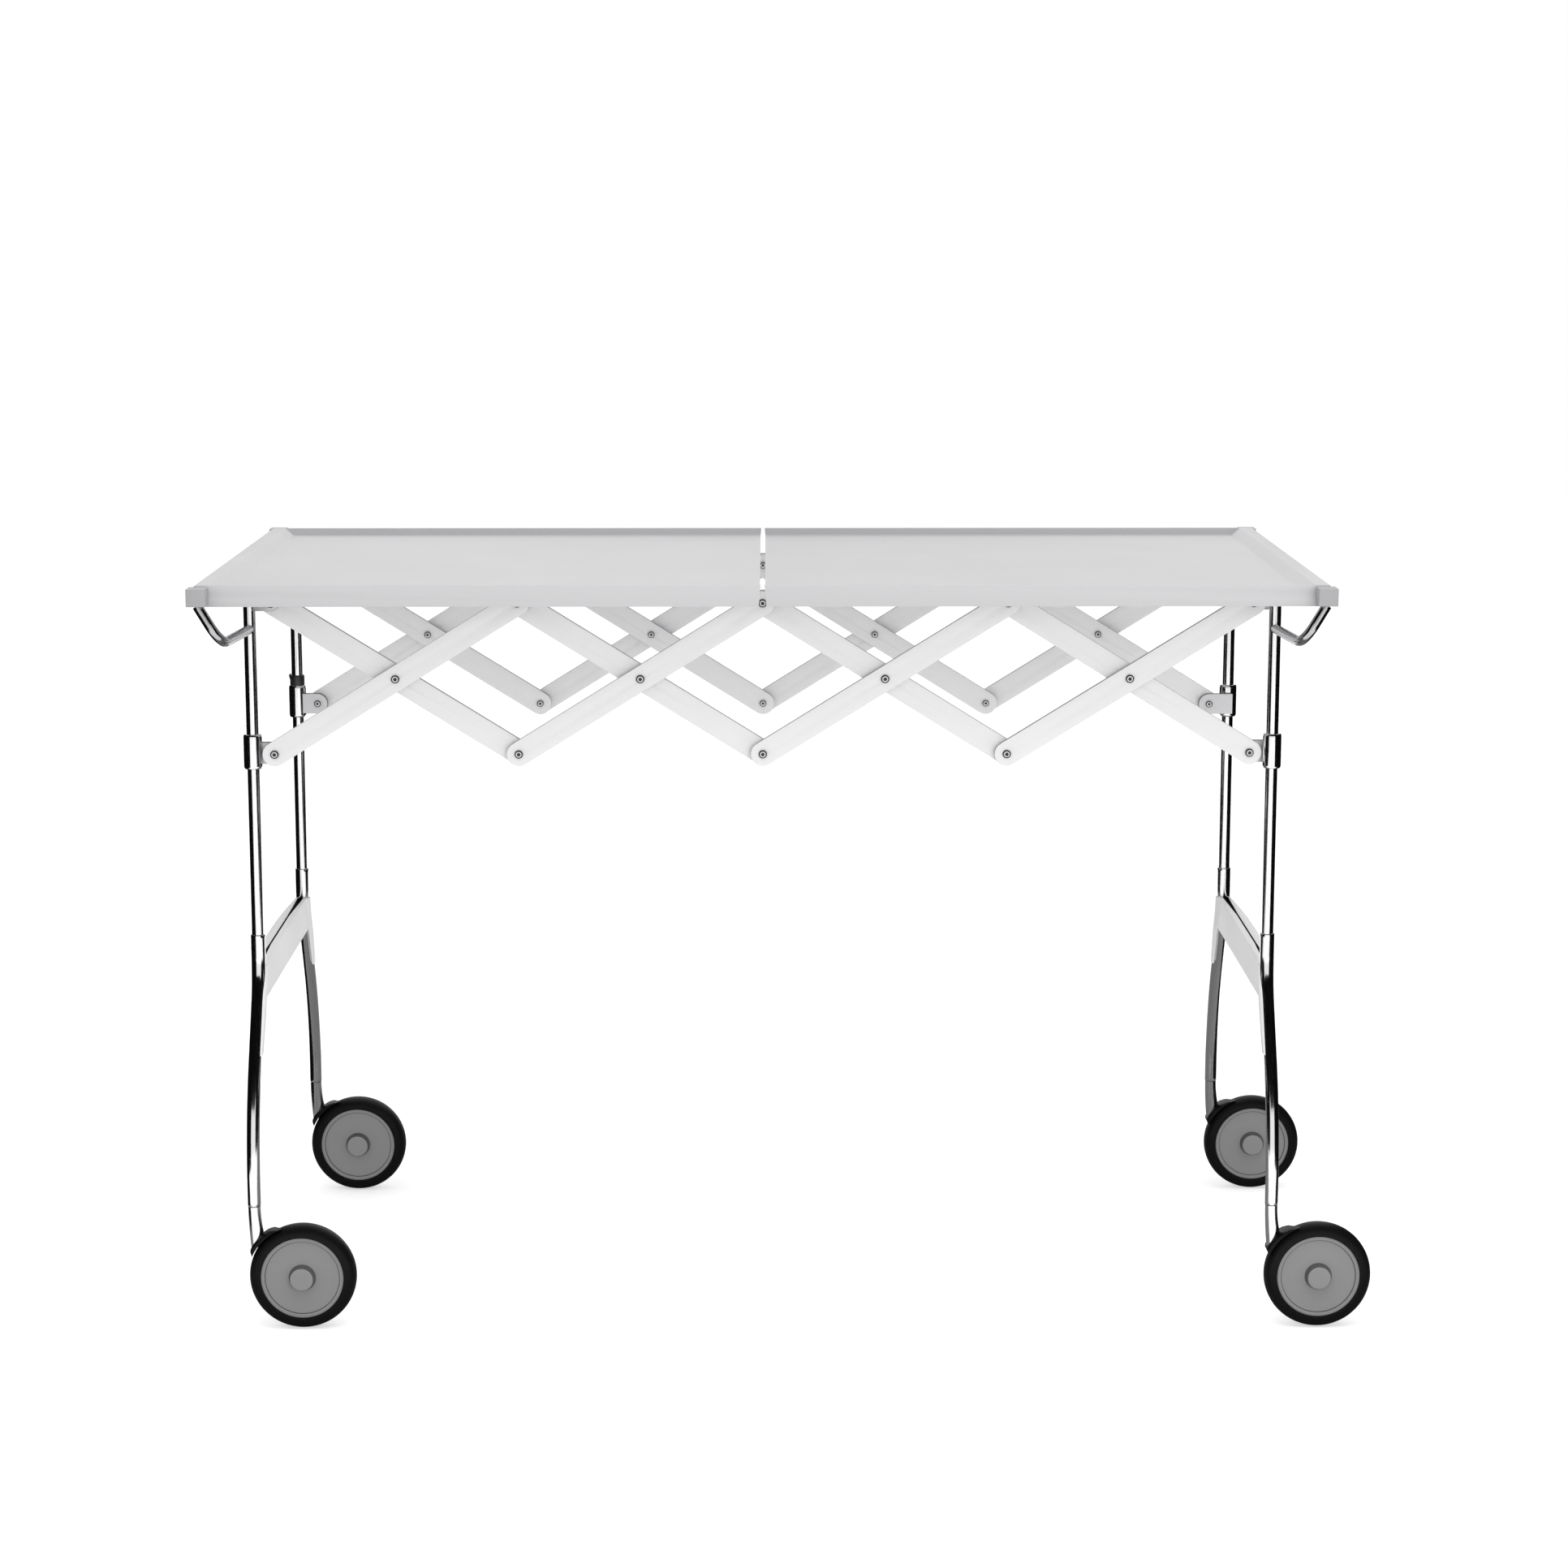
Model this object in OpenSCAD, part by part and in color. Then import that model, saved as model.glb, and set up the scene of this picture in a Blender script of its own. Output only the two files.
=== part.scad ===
// Folding room service table on castors. Two scissor lattices, one in front and one behind,
// join a left and a right pair of legs. Two shallow trays hinge on bars outside the legs.
// +X is to the right, +Y to the back, +Z up; the origin is on the floor, in the middle of the
// box that holds the whole table. Millimetres.

/* [Lattice] */
// Distance between neighbouring lattice pivots along the table, when it stands open
pitch = 223; // [210:1:235]
// Angle of a link above the level, when it stands open
link_angle = 31.9; // [30:0.1:34]
// Width of a link, which is also the diameter of its rounded ends
link_w = 22; // [16:0.5:24]
// Thickness of a link
link_t = 6; // [4:0.5:7]
// Gap between the two layers of links
layer_gap = 1; // [0.8:0.1:2]
// Height of the upper pivots below the top of the trays
pivot_drop = 27; // [26:0.5:34]
// Distance of the lattice and of the upright tubes from the middle of the table's depth
leg_y = 154; // [130:1:170]
// Angle that a link turns through as the table closes
fold_swing = 45; // [40:1:46]

/* [Pivot screws] */
// Diameter of a pivot screw's shank
pin_d = 4; // [3:0.5:6]
// Diameter of a screw's head
head_d = 7.6; // [7:0.2:10]
// Height of a screw's head
head_h = 2.2; // [1.5:0.1:3]
// Width across the corners of the hexagon socket
socket_d = 3.6; // [2:0.2:5]
// Depth of the hexagon socket
socket_depth = 1.3; // [0.8:0.1:1.8]
// Diameter of the plain nut on the inner side
nut_d = 6.4; // [5:0.2:9]
// Height of the nut
nut_h = 2; // [1.5:0.1:3]
// Diameter of the spacer ring between two layers
spacer_d = 10; // [8:0.5:14]

/* [Uprights and sleeves] */
// Diameter of the upright tube
tube_d = 11; // [9:0.5:13]
// How far the tube's upper end stands above the corner pivots
tube_over = 6; // [2:0.5:12]
// Distance from a tube's axis to the nearest lattice pivot
lug_reach = 20.5; // [20.5:0.5:26]
// Outer diameter of the sleeve that slides on a tube
sleeve_d = 17; // [15:0.5:17]
// Length of a sleeve
sleeve_h = 32; // [26:1:40]
// How far the middle of a sleeve stands above its lower pivot
sleeve_rise = 2; // [0:0.5:4]
// Chamfer at a sleeve's ends
sleeve_chamfer = 1.6; // [0.5:0.1:2]
// Height of a lug plate, and the diameter of its rounded end
lug_w = 20; // [16:0.5:22]
// Height of the bracket that carries an upper corner pivot
bracket_w = 14; // [12:0.5:18]
// Distance from the tube's axis to the near end of a bracket
bracket_root = 4; // [3:0.5:5]
// Height of the black locking collar
lock_h = 10; // [8:0.5:14]
// Outer diameter of the locking collar
lock_d = 14.4; // [13.5:0.1:18]
// How far the collar's thumb lip stands out
lock_lip = 1; // [0.5:0.5:5]
// How far lug plates reach past the tube's axis
plate_root = 3; // [0:0.5:4]

/* [Lower legs] */
// Height of a leg's foot, where the castor stem starts
foot_z = 115; // [112:1:125]
// Distance of a foot from the middle of the table's depth
foot_y = 221; // [200:1:230]
// Diameter of a lower leg
leg_d = 11.8; // [10.5:0.1:14]
// Slope of the leg's raked middle part, from the vertical
leg_rake = 28; // [24:1:34]
// Height at which the rake starts
rake_z = 318; // [312:1:322]
// Radius of the upper bend
bend_r1 = 60; // [40:5:80]
// Radius of the lower, long bend
bend_r2 = 230; // [150:10:250]
// Outer diameter of the socket that holds the upright tube
socket_od = 13.2; // [13:0.1:15]
// Height of the socket's lower edge
socket_z = 325; // [323:1:332]
// Length of the socket
socket_h = 30; // [20:1:40]
// Depth of the tube in the socket
tube_depth = 24; // [12:1:24]

/* [Crossbar] */
// Height of the crossbar's top above the floor
bar_top = 325; // [321:1:330]
// Height of the crossbar's web
bar_h = 32; // [24:1:36]
// How far the web reaches outwards of the legs' axis at its ends
web_out = 6.5; // [6:0.5:7.5]
// How much further out the web bows halfway between the legs
web_bow = 5; // [0:0.5:7]
// How far the web's top reaches inwards of the leg's axis
web_in = 4; // [3:0.5:5]
// Slope of the web's inner face, as how much further in its foot stands
web_flare = 1.5; // [0:0.5:3]
// Distance from the middle of a leg back to the middle of the saddle that holds it
saddle_back = 3; // [2.5:0.5:4]
// How far the saddle stands inwards of the leg's axis
saddle_in = 0.9; // [0:0.1:1.5]
// How much wider the saddle is than the leg, on each side
saddle_cheek = 1.3; // [1:0.1:2]
// Width of the parting groove along the top
groove_w = 1.8; // [0.8:0.1:2]
// Distance from the legs' axis out to the groove
groove_out = 1.6; // [1:0.1:2.5]
// Depth of the parting groove
groove_depth = 8; // [1:0.5:12]
// Length over which the groove widens towards a leg
split_l = 90; // [40:5:120]
// How far the widened groove reaches outwards of the leg's axis
split_out = 4.5; // [4:0.1:5]
// How far the widened groove reaches inwards of the leg's axis
split_in = 1.5; // [0:0.1:2]
// How far the saddle's tail runs down the leg below the web
tail_h = 44; // [30:1:50]
// How far inwards of the leg's axis the tail starts
tail_in = 4.5; // [3:0.5:5]
// Thickness of the tail's tip beyond the leg
tail_tip = 0.4; // [0.3:0.1:1]

/* [Trays] */
// Height of the tray rim's top above the floor
tray_top = 690; // [688:1:740]
// Depth of the trays, from front to back
tray_depth = 500; // [470:5:520]
// Height of the tray's rim
rim_h = 19; // [18.5:0.5:22]
// Thickness of the rim
rim_t = 3.6; // [2.5:0.1:6]
// Depth of the tray's floor below its rim
recess = 7.5; // [5:0.5:8]
// Thickness of the tray's floor
floor_t = 2.5; // [2:0.1:3]
// Chamfer in the corner between the floor and the long rims
cove = 1.2; // [0.5:0.1:2]
// Length of the slope from the border at the short end down to the floor
slope_l = 9; // [4:0.5:14]
// Distance from the legs' axis out to the hinge axis
hinge_out = 29.7; // [27:0.1:34]
// Height of the hinge axis below the tray's top
hinge_drop = 9; // [8.5:0.1:10]
// How far the border reaches outwards of the hinge axis
border_out = 5.1; // [5:0.1:8]
// How far the border reaches inwards of the hinge axis
border_in = 8.9; // [7:0.1:12]
// Diameter of the hinge rod
rod_d = 8; // [5:0.5:8]
// Width of the end block
block_w = 17; // [14:0.5:18]
// Height of the end block
block_h = 15.6; // [14:0.2:17]
// Length of the end block
block_l = 19.4; // [15:0.2:24]
// Angle that a tray swings through, up and over to hang outside the legs
tray_swing = 270; // [180:5:270]
// Thickness of the ribs and of the lip along the tray's inner edge
rib_t = 3; // [2:0.5:5]
// Chamfer along the rim's upper outer edge
rim_chamfer = 1.5; // [0.5:0.1:2]
// How far the border at the short ends stands back from the long rims
border_inset = 1; // [0.5:0.1:2]

/* [Tray arms] */
// Diameter of the bent arm that carries an end block
arm_d = 9; // [8:0.5:10]
// Depth of the arm's root below the corner pivots
arm_drop = 24; // [21:1:40]
// Rise of the arm from its root to its elbow
arm_rise = 0; // [-4:1:10]
// How far outwards of the legs' axis the elbow stands
elbow_out = 9.5; // [2:0.5:12]
// Radius of the elbow
elbow_r = 20; // [12:1:24]

/* [Castors] */
// Diameter of the wheel
wheel_d = 98; // [90:1:104]
// Distance from the swivel axis to the wheel's axle
trail = 43.5; // [42:0.5:48]
// Width of the tyre
tyre_w = 24; // [20:1:26]
// Radius of the tyre's rounded shoulders
shoulder_r = 8; // [5:0.5:9]
// Diameter of the hub disc, inside the tyre
hub_d = 76.4; // [70:0.2:80]
// Width of the lip round the hub disc
lip_w = 4.2; // [3:0.1:6]
// How far the disc's front face stands out of the wheel's middle
disc_out = 10; // [9:0.5:11]
// Depth of the disc's face behind its lip
disc_recess = 1.6; // [0.8:0.1:2.5]
// Diameter of the raised cap in the middle, at its foot
cap_d = 24.6; // [20:0.2:28]
// Diameter of the cap at its front
cap_front_d = 21.4; // [18:0.2:24]
// How far the cap stands out of the disc
cap_h = 7.5; // [5:0.5:9]
// Diameter of the axle
axle_d = 8; // [6:0.5:10]
// Thickness of the hood's back arm
hood_t = 3.5; // [3:0.5:6]
// Thickness of the hood over the tyre, where it is thickest
hood_rim = 4.4; // [3.6:0.1:5]
// How far the hood's outer curve is set off from the axle, which thins the hood towards its ends
hood_taper = 20; // [12:1:20]
// Diameter of the swivel pin
swivel_d = 6; // [5:0.5:6.5]
// Length of the swivel pin inside the foot
swivel_l = 28; // [20:1:30]
// Diameter of the castor stem at its top
stem_d = 11.2; // [10:0.1:12]
// Height of the castor stem
stem_h = 42; // [38:1:44]
// How much wider the stem's foot reaches towards the wheel
stem_flare = 7; // [4:0.5:10]
// How far the stem's outer side draws in towards the wheel at its foot
stem_tuck = 2.3; // [0:0.1:3]
// Where the hood is thickest, as an angle round the axle from the right over the top
hood_mid = 145; // [142:1:148]
// Where the hood starts, over the top of the wheel
hood_from = 110; // [110:1:118]
// Where the hood ends, below the stem
hood_to = 160; // [156:1:165]
// Gap between the tyre's side and the hood's back arm
arm_gap = 2; // [1:0.1:3]
// Diameter of the arm's boss round the axle
boss_d = 30; // [24:1:36]
// How far the axle reaches past the wheel's middle
axle_in = 5; // [3:0.5:7]
// How far the hub's back face stands inside the tyre's side
hub_inset = 2; // [1:0.5:4]

/* [Clearances] */
// Radial clearance of a running fit
run_fit = 0.05; // [0.02:0.01:0.09]
// Clearance between faces that move past each other
face_gap = 0.3; // [0.3:0.05:0.4]
// Radial clearance of a seat that doesn't move
seat_fit = 0.02; // [0.01:0.01:0.04]
// Clearance round the tyre, under the hood
tyre_gap = 0.8; // [0.8:0.1:1.5]
// Gap between the trays beyond what their swing needs
tray_gap = 0.2; // [0.2:0.1:1]

/* [Hidden] */
$fn = 48;
eps = 0.01;
// Sides of a bent bar, and the angle between its rings
bar_sides = 20;
bend_step = 7;

// Lattice: half of the links slope down to the right and half up to the right
rise = pitch * tan(link_angle);
link_l = pitch / cos(link_angle);
upper_z = tray_top - pivot_drop;
tube_top = upper_z + tube_over;
arm_root_z = upper_z - arm_drop;
lower_z = upper_z - rise;
sleeve_foot = lower_z + sleeve_rise - sleeve_h / 2;
middle_z = (upper_z + lower_z) / 2;
front_layer = leg_y + layer_gap / 2;
back_layer = leg_y - layer_gap / 2 - link_t;
lug_layer = back_layer - layer_gap - link_t;

// Legs, trays and castors
leg_x = 2 * pitch + lug_reach;
hinge_x = leg_x + hinge_out;
hinge_z = tray_top - hinge_drop;
rim_foot = tray_top - rim_h;
floor_z = tray_top - recess;
lip_z = upper_z + link_w / 2 + face_gap;
block_y = tray_depth / 2 + face_gap * 2 + block_l / 2;
tube_foot = socket_z + socket_h - tube_depth;
rake_end_z = rake_z - (foot_y - leg_y) / tan(leg_rake);
leg_top = socket_z + socket_h - 2;
web_foot = bar_top - bar_h;
wheel_r = wheel_d / 2;
hub_r = hub_d / 2;
hood_in = wheel_r + tyre_gap;
hood_out = hood_in + hood_rim;
arm_y = tyre_w / 2 + arm_gap;
stem_top = foot_z - face_gap;

// The middle of the lattice stands left of the origin, because the castors trail to the right
mid_x = ((hinge_x + block_w / 2) - (leg_x + trail + wheel_r)) / 2;

// Each closing step lifts a tray by swing_ratio steps; the inner edge stands back by what its
// first movement needs, more at its foot than at its top
swing_ratio = tray_swing / fold_swing;
function edge_back(height) =
    pow(2 * rise - swing_ratio * height, 2) / (4 * (hinge_x * swing_ratio * swing_ratio / 2 - pitch))
    + tray_gap;

SIDES = ["left", "right"];
CORNERS = ["lf", "lb", "rf", "rb"];

// Side of a corner: -1 is left, +1 is right; -1 is front, +1 is back
function side_x(corner) = corner[0] == "l" ? -1 : 1;
function side_y(corner) = corner[1] == "f" ? -1 : 1;

// ---------------------------------------------------------------- shared shapes

// Puts a shape that is drawn for the front or the left at the side that s names (-1 or +1)
module at_depth(s) {
    mirror([0, s > 0 ? 1 : 0, 0]) children();
}

module at_side(s) {
    mirror([s > 0 ? 1 : 0, 0, 0]) children();
}

// Front and back copies of a shape that is drawn at the front
module front_and_back() {
    for (s = [-1, 1]) at_depth(s) children();
}

// Extrudes an outline drawn in X and Z from depth y0 (nearer the front) over thickness t
module plate_xz(y0, t) {
    translate([0, y0 + t, 0]) rotate([90, 0, 0]) linear_extrude(t) children();
}

function unit(v) = v / norm(v);
function turn(p) = acos(unit(p[1] - p[0]) * unit(p[2] - p[1]));
function tangent(p, r) = r * tan(turn(p) / 2);

// Stations round the middle one of three points, on a bend of radius r: each is a point and a direction
function bend_stations(p, r) =
    let (
        u = unit(p[1] - p[0]),
        v = unit(p[2] - p[1]),
        n = unit(v - (u * v) * u),
        c = p[1] - u * tangent(p, r) + n * r,
        steps = max(3, ceil(turn(p) / bend_step))
    )
    [for (i = [0 : steps]) let (a = turn(p) * i / steps)
        [c + r * (u * sin(a) - n * cos(a)), u * cos(a) + n * sin(a)]];

// A closed skin over rings of points, each ring with the same number of points
module loft(rings) {
    n = len(rings[0]);
    m = len(rings);
    polyhedron(
        points = [for (ring = rings) each ring],
        faces = [
            [for (j = [0 : n - 1]) j],
            for (i = [0 : m - 2]) for (j = [0 : n - 1])
                [i * n + j, (i + 1) * n + j, (i + 1) * n + (j + 1) % n, i * n + (j + 1) % n],
            [for (j = [n - 1 : -1 : 0]) (m - 1) * n + j]
        ],
        convexity = 4
    );
}

// A round bar along the points of p, which lie in one plane, with a bend radius at each inner point
module bent_bar(p, radii, d) {
    last = len(p) - 1;
    across = unit(cross(p[1] - p[0], p[2] - p[1]));
    stations = [
        [p[0], unit(p[1] - p[0])],
        for (i = [1 : last - 1]) each bend_stations([p[i - 1], p[i], p[i + 1]], radii[i - 1]),
        [p[last], unit(p[last] - p[last - 1])]
    ];
    loft([for (s = stations) let (up = cross(s[1], across))
        [for (j = [0 : bar_sides - 1]) let (a = 360 * j / bar_sides)
            s[0] + d / 2 * (cos(a) * across + sin(a) * up)]]);
}

// ---------------------------------------------------------------- lattice

function upper(k) = [(k - 2) * pitch, upper_z];
function lower(k) = [(k - 2) * pitch, lower_z];
function middle(k) = [(k - 2.5) * pitch, middle_z];

// A flat link from pivot p to pivot q, drilled at its ends and its middle
module link(p, q, layer) {
    v = q - p;
    color("gainsboro")
        plate_xz(-layer - link_t, link_t) difference() {
            translate(p) rotate(atan2(v[1], v[0])) {
                translate([0, -link_w / 2]) square([norm(v), link_w]);
                circle(d = link_w);
                translate([norm(v), 0]) circle(d = link_w);
            }
            for (c = [p, q, (p + q) / 2]) translate(c) circle(r = pin_d / 2 + run_fit);
        }
}

// A link that slopes down to the right, in the layer behind
module slat_a(k, s) {
    at_depth(s) link(upper(k - 1), lower(k), back_layer);
}

// A link that slopes up to the right, in the layer in front
module slat_b(k, s) {
    at_depth(s) link(upper(k), lower(k - 1), front_layer);
}

// A screw along -Y at pivot c. Its head lies on a face at depth face, its shank passes through
// its own plate and one other plate, and a nut closes it. own_first says which plate it turns with.
module pivot_screw(c, face, own_first) {
    play_head = own_first ? 0 : face_gap;
    play_nut = own_first ? face_gap : 0;
    seam = face - link_t;
    plates = 2 * link_t + layer_gap;
    nut_face = face - plates - play_nut;
    color("dimgray") translate([c[0], 0, c[1]]) rotate([90, 0, 0]) {
        difference() {
            translate([0, 0, face + play_head]) {
                cylinder(h = head_h - 0.5, d = head_d);
                translate([0, 0, head_h - 0.5]) cylinder(h = 0.5, d1 = head_d, d2 = head_d - 1);
            }
            translate([0, 0, face + play_head + head_h - socket_depth])
                cylinder(h = socket_depth + eps, d = socket_d, $fn = 6);
        }
        translate([0, 0, nut_face - nut_h / 2])
            cylinder(h = face + play_head - nut_face + nut_h / 2 + 0.2, d = pin_d);
        translate([0, 0, nut_face - nut_h]) cylinder(h = nut_h, d = nut_d);
        translate([0, 0, seam - layer_gap + (own_first ? face_gap : 0)])
            cylinder(h = layer_gap - face_gap, d = spacer_d);
    }
}

// The screws that turn with the link b of index k: at its foot, its middle and its top
module screws_b(k) {
    front_and_back()
        for (c = [lower(k - 1), middle(k), upper(k)])
            pivot_screw(c, front_layer + link_t, true);
}

module screws_top_left() {
    front_and_back() pivot_screw(upper(0), front_layer + link_t, true);
}

module screws_foot_right() {
    front_and_back() pivot_screw(lower(4), back_layer + link_t, false);
}

// ---------------------------------------------------------------- uprights

module uprights() {
    color("silver") front_and_back() translate([-leg_x, -leg_y, tube_foot]) {
        cylinder(h = tube_top - tube_foot - 1, d = tube_d);
        translate([0, 0, tube_top - tube_foot - 1]) cylinder(h = 1, d1 = tube_d, d2 = tube_d - 2);
    }
}

// A sleeve with chamfered ends, bored to slide on the tube
module sleeves() {
    r = sleeve_d / 2;
    bore = tube_d / 2 + run_fit;
    c = sleeve_chamfer;
    color("silver") front_and_back() translate([-leg_x, -leg_y, sleeve_foot])
        rotate_extrude() polygon([
            [bore, 0], [r - c, 0], [r, c], [r, sleeve_h - c], [r - c, sleeve_h], [bore, sleeve_h]
        ]);
}

// A lug plate from a sleeve to the nearest lower pivot; its groove fits the sleeve
module lugs(layer) {
    pivot_x = -leg_x + lug_reach;
    color("whitesmoke") front_and_back() difference() {
        plate_xz(-layer - link_t, link_t) difference() {
            union() {
                translate([pivot_x, lower_z]) circle(d = lug_w);
                translate([-leg_x - plate_root, lower_z - lug_w / 2])
                    square([lug_reach + plate_root, lug_w]);
            }
            translate([pivot_x, lower_z]) circle(r = pin_d / 2 + run_fit);
        }
        translate([-leg_x, -leg_y, 0]) cylinder(h = tray_top, d = sleeve_d + 2 * seat_fit);
    }
}

// A bracket from the top of a tube to the corner pivot of the lattice
module brackets(layer) {
    pivot_x = -leg_x + lug_reach;
    color("silver") front_and_back() difference() {
        plate_xz(-layer - link_t, link_t) difference() {
            union() {
                translate([pivot_x, upper_z]) circle(d = bracket_w);
                translate([-leg_x + bracket_root, upper_z - bracket_w / 2])
                    square([lug_reach - bracket_root, bracket_w]);
            }
            translate([pivot_x, upper_z]) circle(r = pin_d / 2 + run_fit);
        }
        translate([-leg_x, -leg_y, 0]) cylinder(h = tray_top, d = tube_d + 2 * seat_fit);
    }
}

// A ring on the back left tube, just above its sleeve, with a thumb lip that flares upwards
module lock_collar() {
    color("black") translate([-leg_x, leg_y, sleeve_foot + sleeve_h + face_gap]) difference() {
        union() {
            cylinder(h = lock_h - 1, d = lock_d);
            translate([0, 0, lock_h - 1]) cylinder(h = 1, d1 = lock_d, d2 = lock_d - 1.6);
            plate_xz(-3, 6) polygon([
                [0, lock_h - 5], [-lock_d / 2 + 0.4, lock_h - 5], [-lock_d / 2 - lock_lip, lock_h],
                [-lock_d / 2 - lock_lip + 1.6, lock_h + 1.4], [-lock_d / 2 + 1, lock_h], [0, lock_h]
            ]);
        }
        translate([0, 0, -eps]) cylinder(h = lock_h + 3, r = tube_d / 2 + run_fit);
    }
}

// ---------------------------------------------------------------- lower legs and crossbars

// A bar along the leg's path, from inside the socket to the foot, for the front left corner
module leg_bar(d) {
    bent_bar([
        [-leg_x, -leg_y, leg_top], [-leg_x, -leg_y, rake_z],
        [-leg_x, -foot_y, rake_end_z], [-leg_x, -foot_y, foot_z]
    ], [bend_r1, bend_r2], d);
}

module lower_leg() {
    color("silver") difference() {
        union() {
            leg_bar(leg_d);
            translate([-leg_x, -leg_y, socket_z]) {
                cylinder(h = socket_h - 1, d = socket_od);
                translate([0, 0, socket_h - 1]) cylinder(h = 1, d1 = socket_od, d2 = socket_od - 0.8);
            }
        }
        translate([-leg_x, -leg_y, tube_foot - seat_fit])
            cylinder(h = tube_depth + 1, r = tube_d / 2 + seat_fit);
        translate([-leg_x, -foot_y, foot_z - 1])
            cylinder(h = swivel_l + 3, r = swivel_d / 2 + run_fit);
    }
}

// A bar that follows the leg a little behind it and wider than it
module saddle_bar() {
    translate([saddle_in, saddle_back, 0]) leg_bar(leg_d + 2 * saddle_cheek);
}

// The saddle behind one leg and the tail that runs down the leg's inner side
module leg_saddle() {
    intersection() {
        saddle_bar();
        translate([-leg_x - 2 * leg_d, -foot_y, web_foot]) cube([4 * leg_d, foot_y, bar_h]);
    }
    intersection() {
        saddle_bar();
        plate_xz(-foot_y - leg_d, foot_y) translate([-leg_x, web_foot]) polygon([
            [tail_in, saddle_back], [2 * leg_d, saddle_back],
            [leg_d / 2 + saddle_cheek + saddle_in, 0], [leg_d / 2 + tail_tip, -tail_h], [tail_in, -tail_h]
        ]);
    }
}

// The web from saddle to saddle. Seen from above its outer side bows out.
module crossbar_web() {
    end = leg_y - saddle_back;
    outer = -web_out - web_bow - 1;
    steps = 16;
    intersection() {
        plate_xz(-end, 2 * end) translate([-leg_x, web_foot])
            polygon([[outer, 0], [web_in + web_flare, 0], [web_in, bar_h], [outer, bar_h]]);
        translate([-leg_x, 0, web_foot - 1]) linear_extrude(bar_h + 2) polygon([
            [2 * web_in + web_flare, end], [2 * web_in + web_flare, -end],
            for (i = [0 : steps]) let (y = 2 * i / steps - 1) [-web_out - web_bow * (1 - y * y), y * end]
        ]);
    }
}

// The groove from the middle of the bar to the front leg, where it is wider
module parting_groove() {
    bend = -leg_y + split_l;
    translate([-leg_x, 0, bar_top - groove_depth]) linear_extrude(groove_depth + 1) polygon([
        [-groove_out, 1], [-groove_out - groove_w, 1], [-groove_out - groove_w, bend], [-split_out, -leg_y],
        [split_in, -leg_y], [-groove_out, bend]
    ]);
}

module crossbar() {
    color("whitesmoke") difference() {
        union() {
            crossbar_web();
            front_and_back() leg_saddle();
        }
        front_and_back() {
            parting_groove();
            leg_bar(leg_d + 2 * seat_fit);
            translate([-leg_x, -leg_y, socket_z - seat_fit])
                cylinder(h = socket_h, r = socket_od / 2 + seat_fit);
        }
    }
}

// ---------------------------------------------------------------- trays and their hinges

// A bent arm welded to each tube, which carries the end block of the hinge bar
module tray_arms() {
    elbow_z = arm_root_z + arm_rise;
    color("silver") front_and_back() difference() {
        bent_bar([
            [-leg_x, -leg_y, arm_root_z],
            [-leg_x - elbow_out, -block_y, elbow_z],
            [-hinge_x, -block_y, hinge_z - block_h / 2]
        ], [elbow_r], arm_d);
        translate([-leg_x, -leg_y, 0]) cylinder(h = tray_top, r = tube_d / 2 + seat_fit);
        translate([-hinge_x, -block_y, hinge_z])
            cube([block_w + 2 * seat_fit, 2 * block_l, block_h + 2 * seat_fit], center = true);
    }
}

// The hinge rod with a square block on each end
module hinge_bar() {
    color("darkgray") {
        translate([-hinge_x, block_y, hinge_z]) rotate([90, 0, 0]) cylinder(h = 2 * block_y, d = rod_d);
        front_and_back() translate([-hinge_x, -block_y, hinge_z])
            cube([block_w, block_l, block_h], center = true);
    }
}

// Outline of a tray's outer end, seen from the front
tray_end = [
    [-hinge_x - border_out + rim_chamfer, tray_top], [-hinge_x - border_out, tray_top - rim_chamfer],
    [-hinge_x - border_out, rim_foot + 1], [-hinge_x - border_out + 1, rim_foot]
];

// Section of a tray along X: its hinge end, its floor and its inner edge
module tray_section() {
    inner = -hinge_x + border_in;
    edge_foot = edge_back(lip_z - hinge_z);
    polygon([
        each tray_end, [inner, rim_foot], [inner, floor_z - floor_t],
        [-edge_foot - rib_t, floor_z - floor_t], [-edge_foot - rib_t, lip_z], [-edge_foot, lip_z],
        [-edge_back(floor_z - hinge_z), floor_z], [inner + slope_l, floor_z], [inner, tray_top]
    ]);
}

// The rim along a long side; its inner end stands back as the tray's inner edge does
module long_rim() {
    plate_xz(-tray_depth / 2, rim_t) polygon([
        each tray_end,
        [-edge_back(rim_foot - hinge_z), rim_foot], [-edge_back(tray_top - hinge_z), tray_top]
    ]);
}

// The chamfered corner between the floor and a long rim
module rim_cove() {
    from = -hinge_x + border_in;
    translate([from, -tray_depth / 2 + rim_t, floor_z]) rotate([90, 0, 90])
        linear_extrude(-edge_back(floor_z - hinge_z) - from)
            polygon([[-1, -1], [cove, -1], [cove, 0], [0, cove], [-1, cove]]);
}

// A rib under the floor, which rests on the lattice pivot halfway along the tray
module tray_rib() {
    translate([-pitch - rib_t, -tray_depth / 2 + border_inset, lip_z])
        cube([2 * rib_t, tray_depth - 2 * border_inset, floor_z - floor_t / 2 - lip_z]);
}

module tray() {
    color("lightgray") difference() {
        union() {
            plate_xz(-tray_depth / 2 + border_inset, tray_depth - 2 * border_inset) tray_section();
            front_and_back() {
                long_rim();
                rim_cove();
            }
            tray_rib();
        }
        translate([-hinge_x, tray_depth, hinge_z]) rotate([90, 0, 0])
            cylinder(h = 2 * tray_depth, r = rod_d / 2 + run_fit);
    }
}

// ---------------------------------------------------------------- castors

// Everything on a castor is drawn with the swivel axis at X = 0, Y = 0 and the wheel to the right
module at_castor(corner) {
    translate([side_x(corner) * leg_x, side_y(corner) * foot_y, 0]) children();
}

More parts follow.
